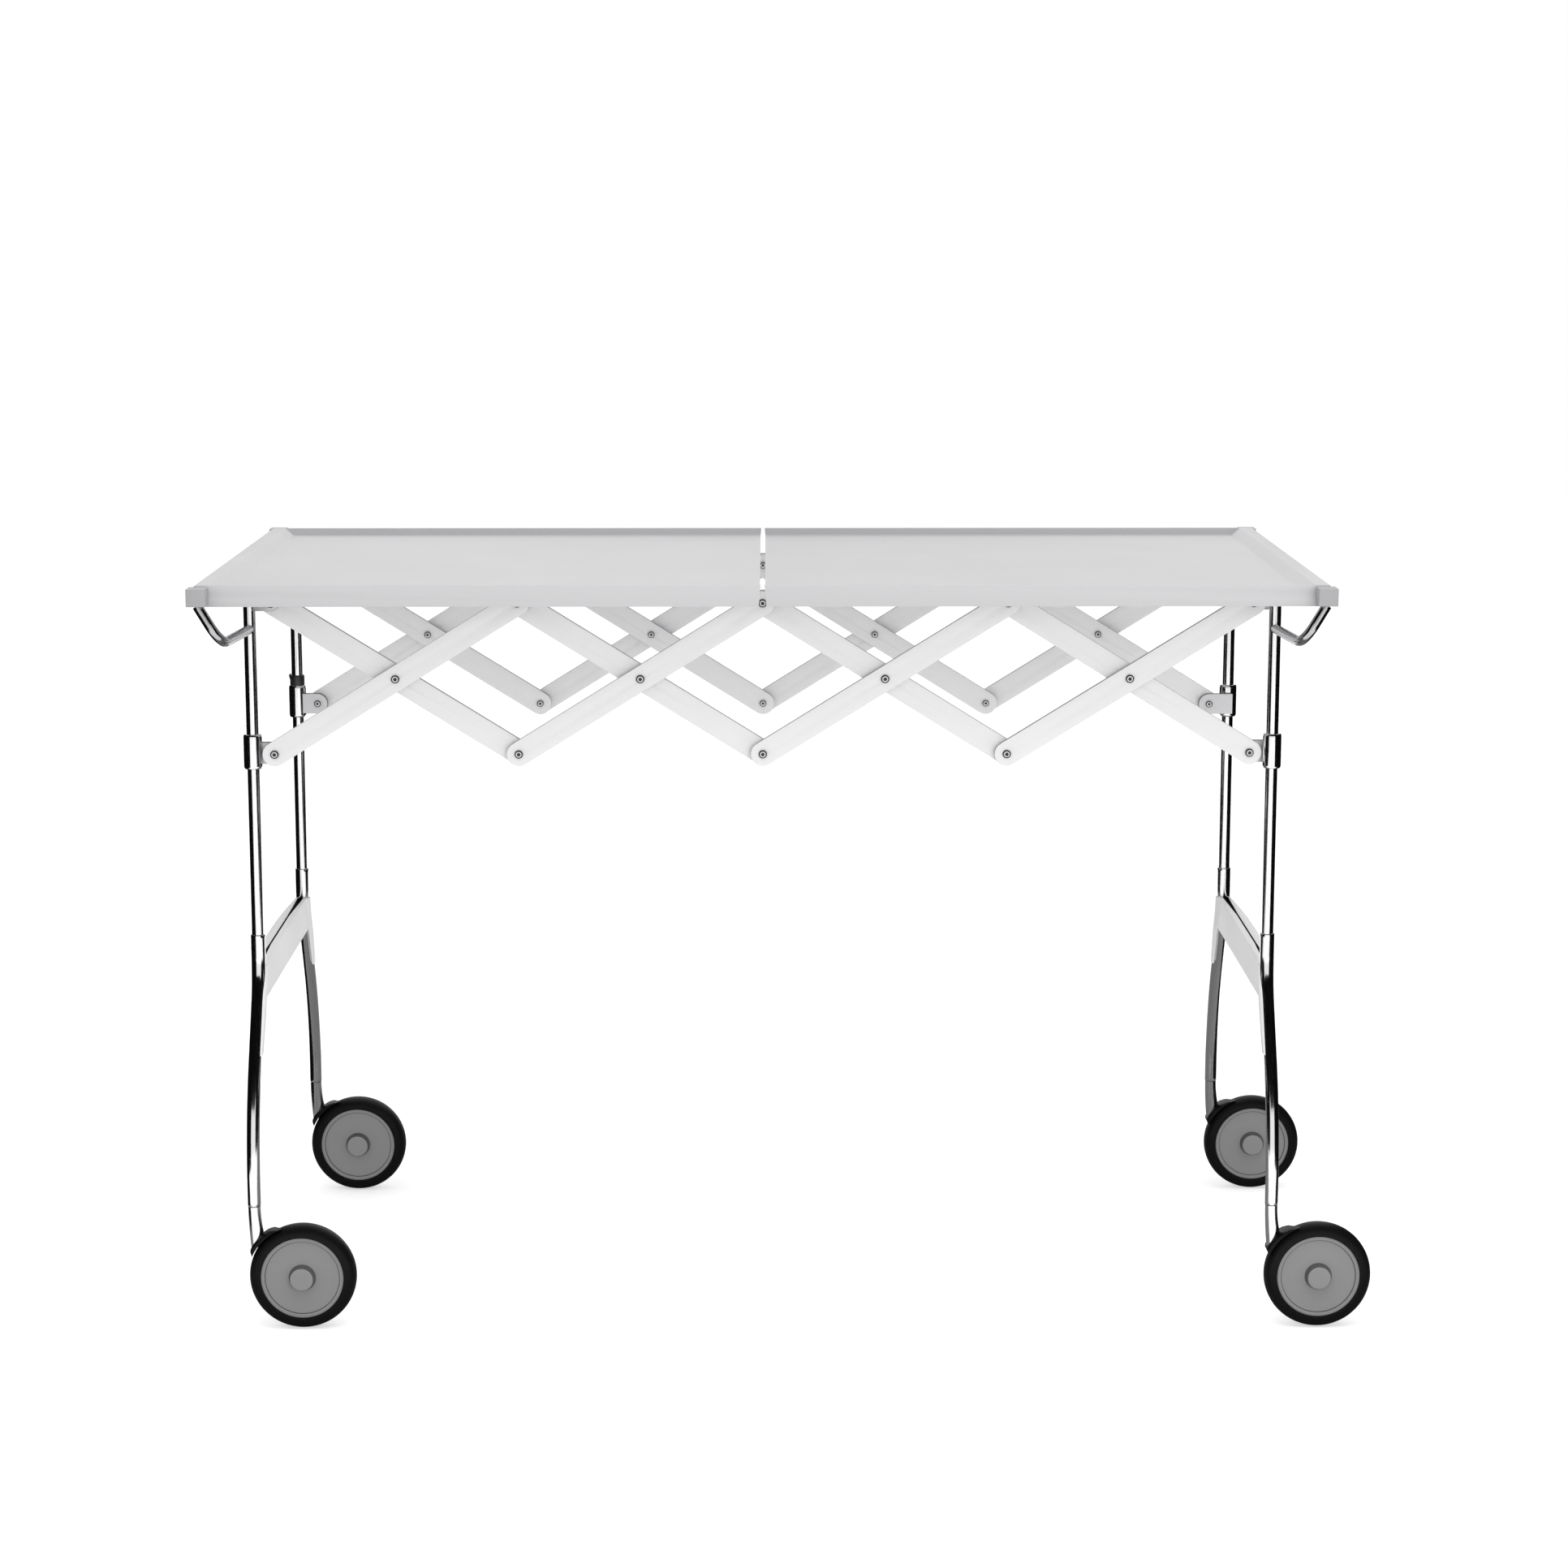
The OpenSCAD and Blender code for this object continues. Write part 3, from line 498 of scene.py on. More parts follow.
blank = link_blank()
link_pair = copies_tree()
link_coat = surface("link_coat", COAT_GREY, roughness=0.40, grain=1300.0, depth=0.00005,
                    patch=0.015)
link_edge_painted_shade = surface("link_coat_painted_edge_shade", LINK_PAINTED_EDGE_SHADE, roughness=0.36, grain=1500.0, depth=0.00004,
                   patch=0.04)
for k in range(1, 5):
    centre = (TABLE_MIDDLE + (k - 2.5) * LINK_PITCH, 0, UPPER_PIVOTS - pivot_rise / 2)
    for row, slope in (("a", LINK_ANGLE), ("b", -LINK_ANGLE)):
        link = made_by(link_pair, blank.copy(), f"link_{row}{k}", Middle=centre, Slope=slope,
                       Depth=layer_of[row], Finish=link_coat, Edge_Finish=link_edge_painted_shade)
        fit(link, f"slat_{row}{k}", "slat", f"slat_{row}{k}_front", f"slat_{row}{k}_back")


# ---------------------------------------------------------------- pivot screws
# Black steel screws, worn bright round the hexagon socket, each with a spacer ring between the
# two bars that it joins and a round nut on the inner side.
SCREW_SHANK = 0.0133
# Points at a radius and a height, where a word stands for a value of the screw in hand.
SCREW_PROFILE = (
    (0.0013, -0.0020), (0.0025, -0.0020), (0.0032, -0.0016), (0.0032, 0.0), (0.0020, 0.0),
    (0.0020, "ring"), (0.0050, "ring"), (0.0050, "ring_top"), (0.0020, "ring_top"),
    (0.0020, SCREW_SHANK), (0.0038, SCREW_SHANK), (0.0038, SCREW_SHANK + 0.0014),
    (0.0035, SCREW_SHANK + 0.0019), (0.0028, SCREW_SHANK + 0.0021),
    (0.0027, SCREW_SHANK + 0.0022), ("socket", SCREW_SHANK + 0.0022),
    ("socket", SCREW_SHANK + 0.0009),
)
SCREW_SIDES = 36
HEX_CORNER = 0.0018
RING_THICK = 0.0007
RING_FROM = 0.0066
SLEEVE_RING_FROM = 0.0060
SLEEVE_NUT_IN = 0.0135
NUT_GAP = 0.0003
SCREW_BLACK = (0.020, 0.020, 0.021, 1)
SCREW_WORN = (0.62, 0.62, 0.63, 1)


def skin(rings, name, closed=False):
    """A surface over rings with equally many points, with flat ends or closed on itself."""
    build = bmesh.new()
    loops = [[build.verts.new(point) for point in ring] for ring in rings]
    count = len(loops[0])
    pairs = list(zip(loops, loops[1:])) + ([(loops[-1], loops[0])] if closed else [])
    for near, far in pairs:
        for i in range(count):
            build.faces.new((near[i - 1], near[i], far[i], far[i - 1]))
    if not closed:
        build.faces.new(loops[0])
        build.faces.new(loops[-1])
    bmesh.ops.recalc_face_normals(build, faces=build.faces)
    mesh = bpy.data.meshes.new(name)
    build.to_mesh(mesh)
    build.free()
    return mesh


def screw_blank(ring_from):
    """A screw along Y with its head in front, measured from the face under its nut."""
    heights = {"ring": ring_from, "ring_top": ring_from + RING_THICK}
    rings = []
    for radius, height in SCREW_PROFILE:
        y = -heights.get(height, height)
        ring = []
        for i in range(SCREW_SIDES):
            turn = math.tau * i / SCREW_SIDES
            to_corner = turn % (math.pi / 3) - math.pi / 6
            flat = HEX_CORNER * math.cos(math.pi / 6) / math.cos(to_corner)
            reach = flat if radius == "socket" else radius
            ring.append((reach * math.cos(turn), y, reach * math.sin(turn)))
        rings.append(ring)
    mesh = skin(rings, "screw_blank")
    worn = mesh.attributes.new("worn", "BOOLEAN", "FACE")
    nut_end, socket_rim = 0, len(rings) - 3
    worn.data.foreach_set("value", [i // SCREW_SIDES in (nut_end, socket_rim)
                                    for i in range(len(mesh.polygons))])
    return mesh


def rows_tree():
    """A row of the start shape in front, and the same row, turned round, at the back."""
    tree, source, result = new_tree("screw_rows", (
        ("Start", "Vector"), ("Step", "Vector"), ("Count", "Int"), ("Finish", "Material"),
        ("Worn Finish", "Material")))
    both = tree.nodes.new("GeometryNodeJoinGeometry")
    for turned in (False, True):
        row = tree.nodes.new("GeometryNodeMeshLine")
        tree.links.new(source.outputs["Count"], row.inputs["Count"])
        tree.links.new(source.outputs["Step"], row.inputs["Offset"])
        place = tree.nodes.new("GeometryNodeInstanceOnPoints")
        tree.links.new(row.outputs["Mesh"], place.inputs["Points"])
        tree.links.new(source.outputs["Geometry"], place.inputs["Instance"])
        if turned:
            flip = tree.nodes.new("ShaderNodeVectorMath")
            flip.operation = "MULTIPLY"
            flip.inputs[1].default_value = (1, -1, 1)
            tree.links.new(source.outputs["Start"], flip.inputs[0])
            tree.links.new(flip.outputs[0], row.inputs["Start Location"])
            place.inputs["Rotation"].default_value = (0, 0, math.pi)
        else:
            tree.links.new(source.outputs["Start"], row.inputs["Start Location"])
        tree.links.new(place.outputs[0], both.inputs[0])
    real = tree.nodes.new("GeometryNodeRealizeInstances")
    tree.links.new(both.outputs[0], real.inputs[0])
    coat = tree.nodes.new("GeometryNodeSetMaterial")
    tree.links.new(real.outputs[0], coat.inputs["Geometry"])
    tree.links.new(source.outputs["Finish"], coat.inputs["Material"])
    worn = tree.nodes.new("GeometryNodeInputNamedAttribute")
    worn.data_type = "BOOLEAN"
    worn.inputs["Name"].default_value = "worn"
    top = tree.nodes.new("GeometryNodeSetMaterial")
    tree.links.new(coat.outputs[0], top.inputs["Geometry"])
    tree.links.new(worn.outputs["Attribute"], top.inputs["Selection"])
    tree.links.new(source.outputs["Worn Finish"], top.inputs["Material"])
    tree.links.new(top.outputs[0], result.inputs[0])
    return tree


screw_rows = rows_tree()
screw_steel = surface("screw_steel", SCREW_BLACK, roughness=0.34, grain=1500.0, depth=0.00003,
                      patch=0.05)
screw_worn = surface("screw_worn_steel", SCREW_WORN, roughness=0.36, grain=1500.0, depth=0.00003,
                     patch=0.05, metallic=0.6)
inner_face = layer_of["a"] - LINK_THICK / 2 - NUT_GAP
for k in range(1, 5):
    first = (TABLE_MIDDLE + (k - 3) * LINK_PITCH, -inner_face, UPPER_PIVOTS - pivot_rise)
    step = (LINK_PITCH / 2, 0, pivot_rise / 2)
    screws = made_by(screw_rows, screw_blank(RING_FROM), f"link_screws_{k}", Start=first,
                     Step=step, Count=3, Finish=screw_steel, Worn_Finish=screw_worn)
    fit(screws, f"slat_b{k}", "screw", f"screws_b{k}")
corner = (TABLE_MIDDLE - 2 * LINK_PITCH, -inner_face, UPPER_PIVOTS)
screws = made_by(screw_rows, screw_blank(RING_FROM), "top_screws_left", Start=corner,
                 Step=(0, 0, 0), Count=1, Finish=screw_steel, Worn_Finish=screw_worn)
fit(screws, "left_end", "screw", "screws_top_left")
corner = (TABLE_MIDDLE + 2 * LINK_PITCH, -(LATTICE_DEPTH - SLEEVE_NUT_IN),
          UPPER_PIVOTS - pivot_rise)
screws = made_by(screw_rows, screw_blank(SLEEVE_RING_FROM), "foot_screws_right", Start=corner,
                 Step=(0, 0, 0), Count=1, Finish=screw_steel, Worn_Finish=screw_worn)
fit(screws, "sleeve_pair_right", "screw", "screws_foot_right")


# ---------------------------------------------------------------- upright tubes
# Four straight tubes of polished chromed steel, which stand in the sockets of the lower legs
# and carry the sleeves.
UPRIGHT_REACH = 0.4665
UPRIGHT_WIDTH = 0.011
UPRIGHT_FOOT = 0.331
UPRIGHT_TOP = 0.669
UPRIGHT_EDGE = 0.0009
BEND_STEPS = 16
PATH_STEP = 0.003
CHROME = (0.80, 0.80, 0.81, 1)


def tube_tree():
    """A round tube along the start path, whose points hold their bend radius."""
    tree, source, result = new_tree("bent_tube", (
        ("Top Width", "Float"), ("Foot Width", "Float"), ("Top Height", "Float"),
        ("Foot Height", "Float"), ("Sides", "Int"), ("Finish", "Material")))
    path = tree.nodes.new("GeometryNodeMeshToCurve")
    tree.links.new(source.outputs["Geometry"], path.inputs["Mesh"])
    held = tree.nodes.new("GeometryNodeInputNamedAttribute")
    held.data_type = "FLOAT"
    held.inputs["Name"].default_value = "bend"
    bend = tree.nodes.new("GeometryNodeFilletCurve")
    bend.mode = "POLY"
    bend.inputs["Count"].default_value = BEND_STEPS
    tree.links.new(path.outputs[0], bend.inputs["Curve"])
    tree.links.new(held.outputs["Attribute"], bend.inputs["Radius"])
    even = tree.nodes.new("GeometryNodeResampleCurve")
    even.mode = "LENGTH"
    even.inputs["Length"].default_value = PATH_STEP
    tree.links.new(bend.outputs[0], even.inputs["Curve"])
    where = tree.nodes.new("GeometryNodeInputPosition")
    height = tree.nodes.new("ShaderNodeSeparateXYZ")
    tree.links.new(where.outputs[0], height.inputs[0])
    width = tree.nodes.new("ShaderNodeMapRange")
    width.interpolation_type = "SMOOTHSTEP"
    tree.links.new(height.outputs["Z"], width.inputs["Value"])
    for label, socket in (("Foot Height", "From Min"), ("Top Height", "From Max"),
                          ("Foot Width", "To Min"), ("Top Width", "To Max")):
        tree.links.new(source.outputs[label], width.inputs[socket])
    swell = tree.nodes.new("GeometryNodeSetCurveRadius")
    tree.links.new(even.outputs[0], swell.inputs["Curve"])
    tree.links.new(width.outputs["Result"], swell.inputs["Radius"])
    ring = tree.nodes.new("GeometryNodeCurvePrimitiveCircle")
    ring.inputs["Radius"].default_value = 0.5
    tree.links.new(source.outputs["Sides"], ring.inputs["Resolution"])
    tube = tree.nodes.new("GeometryNodeCurveToMesh")
    tube.inputs["Fill Caps"].default_value = True
    tree.links.new(swell.outputs[0], tube.inputs["Curve"])
    tree.links.new(ring.outputs[0], tube.inputs["Profile Curve"])
    radius = tree.nodes.new("GeometryNodeInputRadius")
    tree.links.new(radius.outputs[0], tube.inputs["Scale"])
    real = tree.nodes.new("GeometryNodeRealizeInstances")
    tree.links.new(tube.outputs[0], real.inputs[0])
    coat = tree.nodes.new("GeometryNodeSetMaterial")
    tree.links.new(real.outputs[0], coat.inputs["Geometry"])
    tree.links.new(source.outputs["Finish"], coat.inputs["Material"])
    tree.links.new(coat.outputs[0], result.inputs[0])
    return tree


def tube(name, paths, material, width, foot_width=None, heights=(0.0, 1.0), sides=40,
         rounding=0.0005):
    """One object with a tube along each path, a list of (point, bend radius).

    Its width goes over from foot_width to width between the two heights.
    """
    points = [point for path in paths for point, radius in path]
    starts = [sum(len(p) for p in paths[:i]) for i in range(len(paths))]
    edges = [(s + i, s + i + 1) for s, path in zip(starts, paths) for i in range(len(path) - 1)]
    mesh = bpy.data.meshes.new(f"{name}_path")
    mesh.from_pydata(points, edges, [])
    bend = mesh.attributes.new("bend", "FLOAT", "POINT")
    bend.data.foreach_set("value", [radius for path in paths for point, radius in path])
    foot_height, top_height = heights
    return made_by(bent_tube, mesh, name, ROUND_FROM, rounding, Top_Width=width,
                   Foot_Width=foot_width or width, Top_Height=top_height,
                   Foot_Height=foot_height, Sides=sides, Finish=material)


bent_tube = tube_tree()
chrome = surface("polished_chrome", CHROME, roughness=0.13, grain=160.0, depth=0.000004,
                 patch=0.01, patch_scale=22.0, metallic=1.0, spread=0.02)
for sign, side in ((-1, "left"), (1, "right")):
    x = TABLE_MIDDLE + sign * UPRIGHT_REACH
    paths = [[((x, depth, UPRIGHT_TOP), 0), ((x, depth, UPRIGHT_FOOT), 0)]
             for depth in (-LATTICE_DEPTH, LATTICE_DEPTH)]
    upright = tube(f"upright_pair_{side}", paths, chrome, UPRIGHT_WIDTH, rounding=UPRIGHT_EDGE)
    fit(upright, f"{side}_end", "chrome_tube", f"uprights_{side}")


# ---------------------------------------------------------------- sleeves
# A chromed sleeve slides on each upright as the lattice opens and closes.
SLEEVE_WIDTH = 0.017
SLEEVE_BORE = 0.0111
SLEEVE_HEIGHT = 0.032
SLEEVE_RISE = 0.002
SLEEVE_LIP = 0.0008
SLEEVE_SHOULDER = 0.0016
PROFILE_STEPS = 4


def ring_at(centre, radius, height, sides, axis="Z"):
    """Points of a circle round an axis through centre, height further along it."""
    turns = [math.tau * i / sides for i in range(sides)]
    if axis == "Z":
        return [(centre[0] + radius * math.cos(t), centre[1] + radius * math.sin(t),
                 centre[2] + height) for t in turns]
    return [(centre[0] + radius * math.cos(t), centre[1] - height, centre[2] + radius * math.sin(t))
            for t in turns]


def soft_profile(points, closed=False):
    """A profile of (radius, height, easing) points, with each corner rounded by its easing."""
    result = []
    count = len(points)
    for i, (r, h, ease) in enumerate(points):
        here = Vector((r, h))
        inner = closed or 0 < i < count - 1
        if not ease or not inner:
            result.append((r, h))
            continue
        before = Vector(points[i - 1][:2]) - here
        after = Vector(points[(i + 1) % count][:2]) - here
        a = here + before.normalized() * min(ease, before.length * 0.49)
        b = here + after.normalized() * min(ease, after.length * 0.49)
        for j in range(PROFILE_STEPS + 1):
            t = j / PROFILE_STEPS
            result.append(tuple(a * (1 - t) ** 2 + here * (2 * t * (1 - t)) + b * t * t))
    return result


def joined(meshes, name, material, sharp=34):
    """One object from several meshes."""
    build = bmesh.new()
    for mesh in meshes:
        build.from_mesh(mesh)
    whole = bpy.data.meshes.new(name)
    build.to_mesh(whole)
    build.free()
    return plain_object(name, whole, material, sharp)


def sleeve_mesh(x, y):
    """A bored sleeve round the tube at x and y, with a soft shoulder at both ends."""
    low = UPPER_PIVOTS - pivot_rise + SLEEVE_RISE - SLEEVE_HEIGHT / 2
    bore, out = SLEEVE_BORE / 2, SLEEVE_WIDTH / 2
    wall = [(bore, 0, 0.0003), (out - SLEEVE_LIP, 0, 0.0005), (out, SLEEVE_SHOULDER, 0.0012),
            (out, SLEEVE_HEIGHT - SLEEVE_SHOULDER, 0.0012),
            (out - SLEEVE_LIP, SLEEVE_HEIGHT, 0.0005), (bore, SLEEVE_HEIGHT, 0.0003)]
    rings = [ring_at((x, y, low), r, h, 64) for r, h in soft_profile(wall, True)]
    return skin(rings, "sleeve", True)


for sign, side in ((-1, "left"), (1, "right")):
    x = TABLE_MIDDLE + sign * UPRIGHT_REACH
    sleeve = joined([sleeve_mesh(x, y) for y in (-LATTICE_DEPTH, LATTICE_DEPTH)],
                    f"sliding_sleeves_{side}", chrome)
    fit(sleeve, f"sleeve_pair_{side}", "chrome_sleeve", f"sleeves_{side}")


# ---------------------------------------------------------------- lugs and brackets
# Pale moulded lugs, with painted shade on their narrow edges, join the sleeves to the lower corners
# of the lattices, and satin steel brackets join the tops of the uprights to the upper corners.
LUG_GREY = (0.72, 0.72, 0.73, 1)
# Painted shade: a near black for the lugs' narrow edges.
LUG_PAINTED_EDGE_SHADE = (0.12, 0.12, 0.122, 1)
BRACKET_STEEL = (0.46, 0.46, 0.47, 1)
LUG_EDGE = 0.0006

lug_plastic = surface("lug_plastic", LUG_GREY, roughness=0.42, grain=800.0, depth=0.00004,
                      patch=0.02)
lug_painted_edge_shade = surface("lug_plastic_painted_edge_shade", LUG_PAINTED_EDGE_SHADE, roughness=0.42, grain=800.0, depth=0.00004,
                   patch=0.02)
bracket_steel = surface("bracket_steel", BRACKET_STEEL, roughness=0.34, grain=1200.0,
                        depth=0.00003, patch=0.03, metallic=1.0)
for side in ("left", "right"):
    lug = eased(merged_copy(f"lugs_{side}", "lug_shape"), LUG_EDGE)
    lug = finished(lug, f"sleeve_lugs_{side}", lug_plastic)
    # Painted shade on the lugs' narrow edges.
    paint_shade_on_faces(lug, lug_painted_edge_shade, lambda face: abs(face.normal.y) < EDGE_LEAN)
    fit(lug, f"sleeve_pair_{side}", "lug", f"lugs_{side}")
    bracket = eased(merged_copy(f"brackets_{side}", "bracket_shape"), LUG_EDGE)
    fit(finished(bracket, f"top_brackets_{side}", bracket_steel), f"{side}_end",
        "chrome_bracket", f"brackets_{side}")


# ---------------------------------------------------------------- locking collar
# A small black plastic ring with a thumb lip, on the back left tube, just above its sleeve.
COLLAR_BLACK = (0.018, 0.018, 0.019, 1)
COLLAR_EDGE = 0.0005

black_plastic = surface("black_plastic", COLLAR_BLACK, roughness=0.36, grain=900.0,
                        depth=0.00004, patch=0.08)
collar = eased(merged_copy("lock_collar", "collar_shape"), COLLAR_EDGE)
fit(finished(collar, "locking_collar", black_plastic), "lock", "black_plastic", "lock_collar")


# ---------------------------------------------------------------- lower legs
# Bent chromed legs, each with a socket at its top for the upright. They rake outwards below
# the crossbar and come back to the vertical above the castors.
LEG_WIDTH = 0.0118
SOCKET_WIDTH = 0.0132
SOCKET_TOP = 0.355
SOCKET_NECK = (0.292, 0.328)
FOOT_HEIGHT = 0.115
FOOT_DEPTH = 0.221
RAKE_FROM = 0.318
RAKE = math.radians(28)
UPPER_BEND = 0.060
LOWER_BEND = 0.230

rake_to = RAKE_FROM - (FOOT_DEPTH - LATTICE_DEPTH) / math.tan(RAKE)
for x_sign, side, letter in ((-1, "left", "l"), (1, "right", "r")):
    for y_sign, end in ((-1, "f"), (1, "b")):
        x = TABLE_MIDDLE + x_sign * UPRIGHT_REACH
        near, far = y_sign * LATTICE_DEPTH, y_sign * FOOT_DEPTH
        path = [((x, near, SOCKET_TOP), 0), ((x, near, RAKE_FROM), UPPER_BEND),
                ((x, far, rake_to), LOWER_BEND), ((x, far, FOOT_HEIGHT), 0)]
        leg = tube(f"bent_leg_{letter}{end}", [path], chrome, SOCKET_WIDTH, LEG_WIDTH, SOCKET_NECK,
                   sides=48)
        fit(leg, f"{side}_end", "chrome_leg", f"lower_leg_{letter}{end}")


# ---------------------------------------------------------------- crossbars
# A pale moulded bar from leg to leg, with a saddle behind each leg and a tail that runs down the
# leg's inner side. It is made in one piece, with eased edges and a parting groove along the top.
BAR_GREY = (0.95, 0.95, 0.955, 1)
# Painted shade: a near black for the inside of the parting groove.
BAR_PAINTED_GROOVE_SHADE = (0.03, 0.03, 0.031, 1)
BAR_EDGE = 0.0009
BAR_TOP = 0.325
GROOVE_IN = 0.0016
GROOVE_OUT = 0.0047
GROOVE_FLOOR = 0.0082
GROOVE_LIP = 0.0009

bar_plastic = surface("bar_plastic", BAR_GREY, roughness=0.44, grain=900.0, depth=0.00004,
                      patch=0.012)
bar_painted_groove_shade = surface("bar_plastic_painted_groove_shade", BAR_PAINTED_GROOVE_SHADE, roughness=0.60, grain=900.0,
                    depth=0.00004, patch=0.012)


def groove_for_painted_shade(face):
    """The walls and the floor of the parting groove, which take a painted shade."""
    reach = abs(face.center.x - TABLE_MIDDLE)
    return (UPRIGHT_REACH - GROOVE_IN < reach < UPRIGHT_REACH + GROOVE_OUT
            and BAR_TOP - GROOVE_FLOOR < face.center.z < BAR_TOP - GROOVE_LIP)


for side in ("left", "right"):
    bar = finished(eased(merged_copy(f"crossbar_{side}", "crossbar_shape"), BAR_EDGE),
                   f"crossbar_moulding_{side}", bar_plastic)
    # Painted shade in the parting groove.
    paint_shade_on_faces(bar, bar_painted_groove_shade, groove_for_painted_shade)
    fit(bar, f"{side}_end", "crossbar", f"crossbar_{side}")


# ---------------------------------------------------------------- tray arms
# A bent chromed arm runs out from each upright and turns up into the end block above it.
ARM_WIDTH = 0.009
ARM_HEIGHT = 0.639
ARM_EDGE = 0.0003
ELBOW_OUT = 0.0095
ELBOW_BEND = 0.020
BLOCK_DEPTH = 0.2603
BLOCK_FOOT = 0.6732
HINGE_REACH = 0.4962
# Painted shade: the arms' chrome is a darker copy of the tubes' chrome, for the dark reflections on
# them.
ARM_METAL_PAINTED_SHADE = (0.44, 0.44, 0.45, 1)

arm_metal_painted_shade = surface("chrome_painted_darker_for_arms", ARM_METAL_PAINTED_SHADE, roughness=0.16, grain=160.0, depth=0.000004,
                     patch=0.01, patch_scale=22.0, metallic=1.0, spread=0.02)
for sign, side in ((-1, "left"), (1, "right")):
    x = TABLE_MIDDLE + sign * UPRIGHT_REACH
    paths = [[((x, y * LATTICE_DEPTH, ARM_HEIGHT), 0),
              ((x + sign * ELBOW_OUT, y * BLOCK_DEPTH, ARM_HEIGHT), ELBOW_BEND),
              ((TABLE_MIDDLE + sign * HINGE_REACH, y * BLOCK_DEPTH, BLOCK_FOOT), 0)]
             for y in (-1, 1)]
    arm = tube(f"bent_arms_{side}", paths, arm_metal_painted_shade, ARM_WIDTH, rounding=ARM_EDGE)
    fit(arm, f"{side}_end", "chrome_arm", f"tray_arms_{side}")


# ---------------------------------------------------------------- castors
# Four swivelling castors: a chromed stem, a black hood with an arm behind the wheel, a black
# rubber tyre, and a grey disc hub with a raised cap.
TRAIL = 0.0435
WHEEL_RADIUS = 0.049
HUB_RADIUS = 0.0382
HOOD_RADIUS = 0.0342
HOOD_SET_OFF = 0.020
HOOD_TURN = math.radians(145)
HOOD_INNER = 0.0498
HOOD_END = 156
HOOD_FADE = 5
HOOD_THIN = 0.0004
HOOD_STEPS = 40
# Across the hood: the distance back, how thick it is there, and where it starts, in degrees.
HOOD_ACROSS = (
    (-0.0100, 0.50, 112), (-0.0096, 0.72, 111), (-0.0080, 0.92, 111), (-0.0050, 1.0, 112),
    (0.0, 1.0, 116), (0.0060, 1.0, 121), (0.0100, 0.82, 127), (0.0140, 0.50, 132),
    (0.0170, 0.20, 136), (0.0175, 0.05, 137),
)
ARM_SPAN = (math.radians(136), math.radians(153))
ARM_LAYERS = ((0.0140, 0.0005), (0.0145, 0), (0.0170, 0), (0.0175, 0.0005))
BOSS_RADIUS = 0.015
BOSS_TURN = 1.25
AXLE_RADIUS = 0.004
AXLE_ENDS = (-0.016, 0.005)
WHEEL_SIDES = 128
STEM_TOP = 0.1147
STEM_WIDTH = 0.0112
STEM_LENGTH = 0.042
STEM_FLARE = 0.007
STEM_TUCK = 0.0023
STEM_SIDES = 40
STEM_STEPS = 24
FOOT_ROUNDS = 6
STEP_LEAN = 0.72
RUBBER_BLACK = (0.006, 0.006, 0.0062, 1)
HOOD_BLACK = (0.004, 0.004, 0.0042, 1)
HUB_GREY = (0.28, 0.28, 0.285, 1)
# Painted shade: a dark grey for the hub's steps, the walls of its cap and of its recess.
HUB_PAINTED_STEP_SHADE = (0.10, 0.10, 0.102, 1)

rubber = surface("black_rubber", RUBBER_BLACK, roughness=0.42, grain=600.0, depth=0.00004,
                 patch=0.15, shine=0.14)
hood_plastic = surface("hood_plastic", HOOD_BLACK, roughness=0.36, grain=900.0, depth=0.00004,
                       patch=0.08, shine=0.15)
hub_plastic = surface("hub_plastic", HUB_GREY, roughness=0.38, grain=900.0, depth=0.00004,
                      patch=0.02)
hub_painted_step_shade = surface("hub_plastic_painted_step_shade", HUB_PAINTED_STEP_SHADE, roughness=0.38, grain=900.0,
                    depth=0.00004, patch=0.02)

# Profiles of points at a radius and a distance forward, each with the easing of its corner.
TYRE_PROFILE = [
    (HUB_RADIUS, -0.012, 0.0004), (0.0406, -0.012, 0.003), (0.0460, -0.0104, 0.003),
    (WHEEL_RADIUS, -0.0045, 0.004), (WHEEL_RADIUS, 0.0045, 0.004), (0.0460, 0.0104, 0.003),
    (0.0406, 0.012, 0.003), (HUB_RADIUS, 0.012, 0.0004),
]
HUB_PROFILE = [
    (0.00405, 0.006, 0), (0.00405, -0.010, 0.0003), (0.014, -0.010, 0.0008),
    (0.016, -0.005, 0.0012), (0.0298, -0.005, 0.0012), (0.0319, -0.010, 0.0006),
    (HUB_RADIUS, -0.010, 0.0004), (HUB_RADIUS, 0.010, 0.0008), (0.0346, 0.010, 0.0005),
    (0.0338, 0.0084, 0.0004), (0.0123, 0.0084, 0.0008), (0.0107, 0.0159, 0.0012),
    (0.0080, 0.0159, 0),
]


def stem_mesh(x, y):
    """The stem flares and leans towards the wheel, and its foot lies on the round hood.

    The height of the foot and its reach depend on each other, and settle in a few rounds.
    """
    radius = STEM_WIDTH / 2
    hood_x = TRAIL + HOOD_SET_OFF * math.cos(HOOD_TURN)
    hood_z = WHEEL_RADIUS + HOOD_SET_OFF * math.sin(HOOD_TURN)
    columns = []
    for i in range(STEM_SIDES):
        turn = math.tau * i / STEM_SIDES
        grow = STEM_FLARE if math.cos(turn) > 0 else -STEM_TUCK
        foot = STEM_TOP - STEM_LENGTH
        for _ in range(FOOT_ROUNDS):
            out = (radius + grow * ((STEM_TOP - foot) / STEM_LENGTH) ** 2) * math.cos(turn)
            foot = hood_z + math.sqrt(HOOD_RADIUS ** 2 - (out - hood_x) ** 2)
        column = []
        for j in range(STEM_STEPS + 1):
            height = STEM_TOP + (foot - STEM_TOP) * j / STEM_STEPS
            reach = radius + grow * ((STEM_TOP - height) / STEM_LENGTH) ** 2
            column.append((x + reach * math.cos(turn), y + radius * math.sin(turn), height))
        columns.append(column)
    return skin([[column[j] for column in columns] for j in range(STEM_STEPS + 1)], "stem")


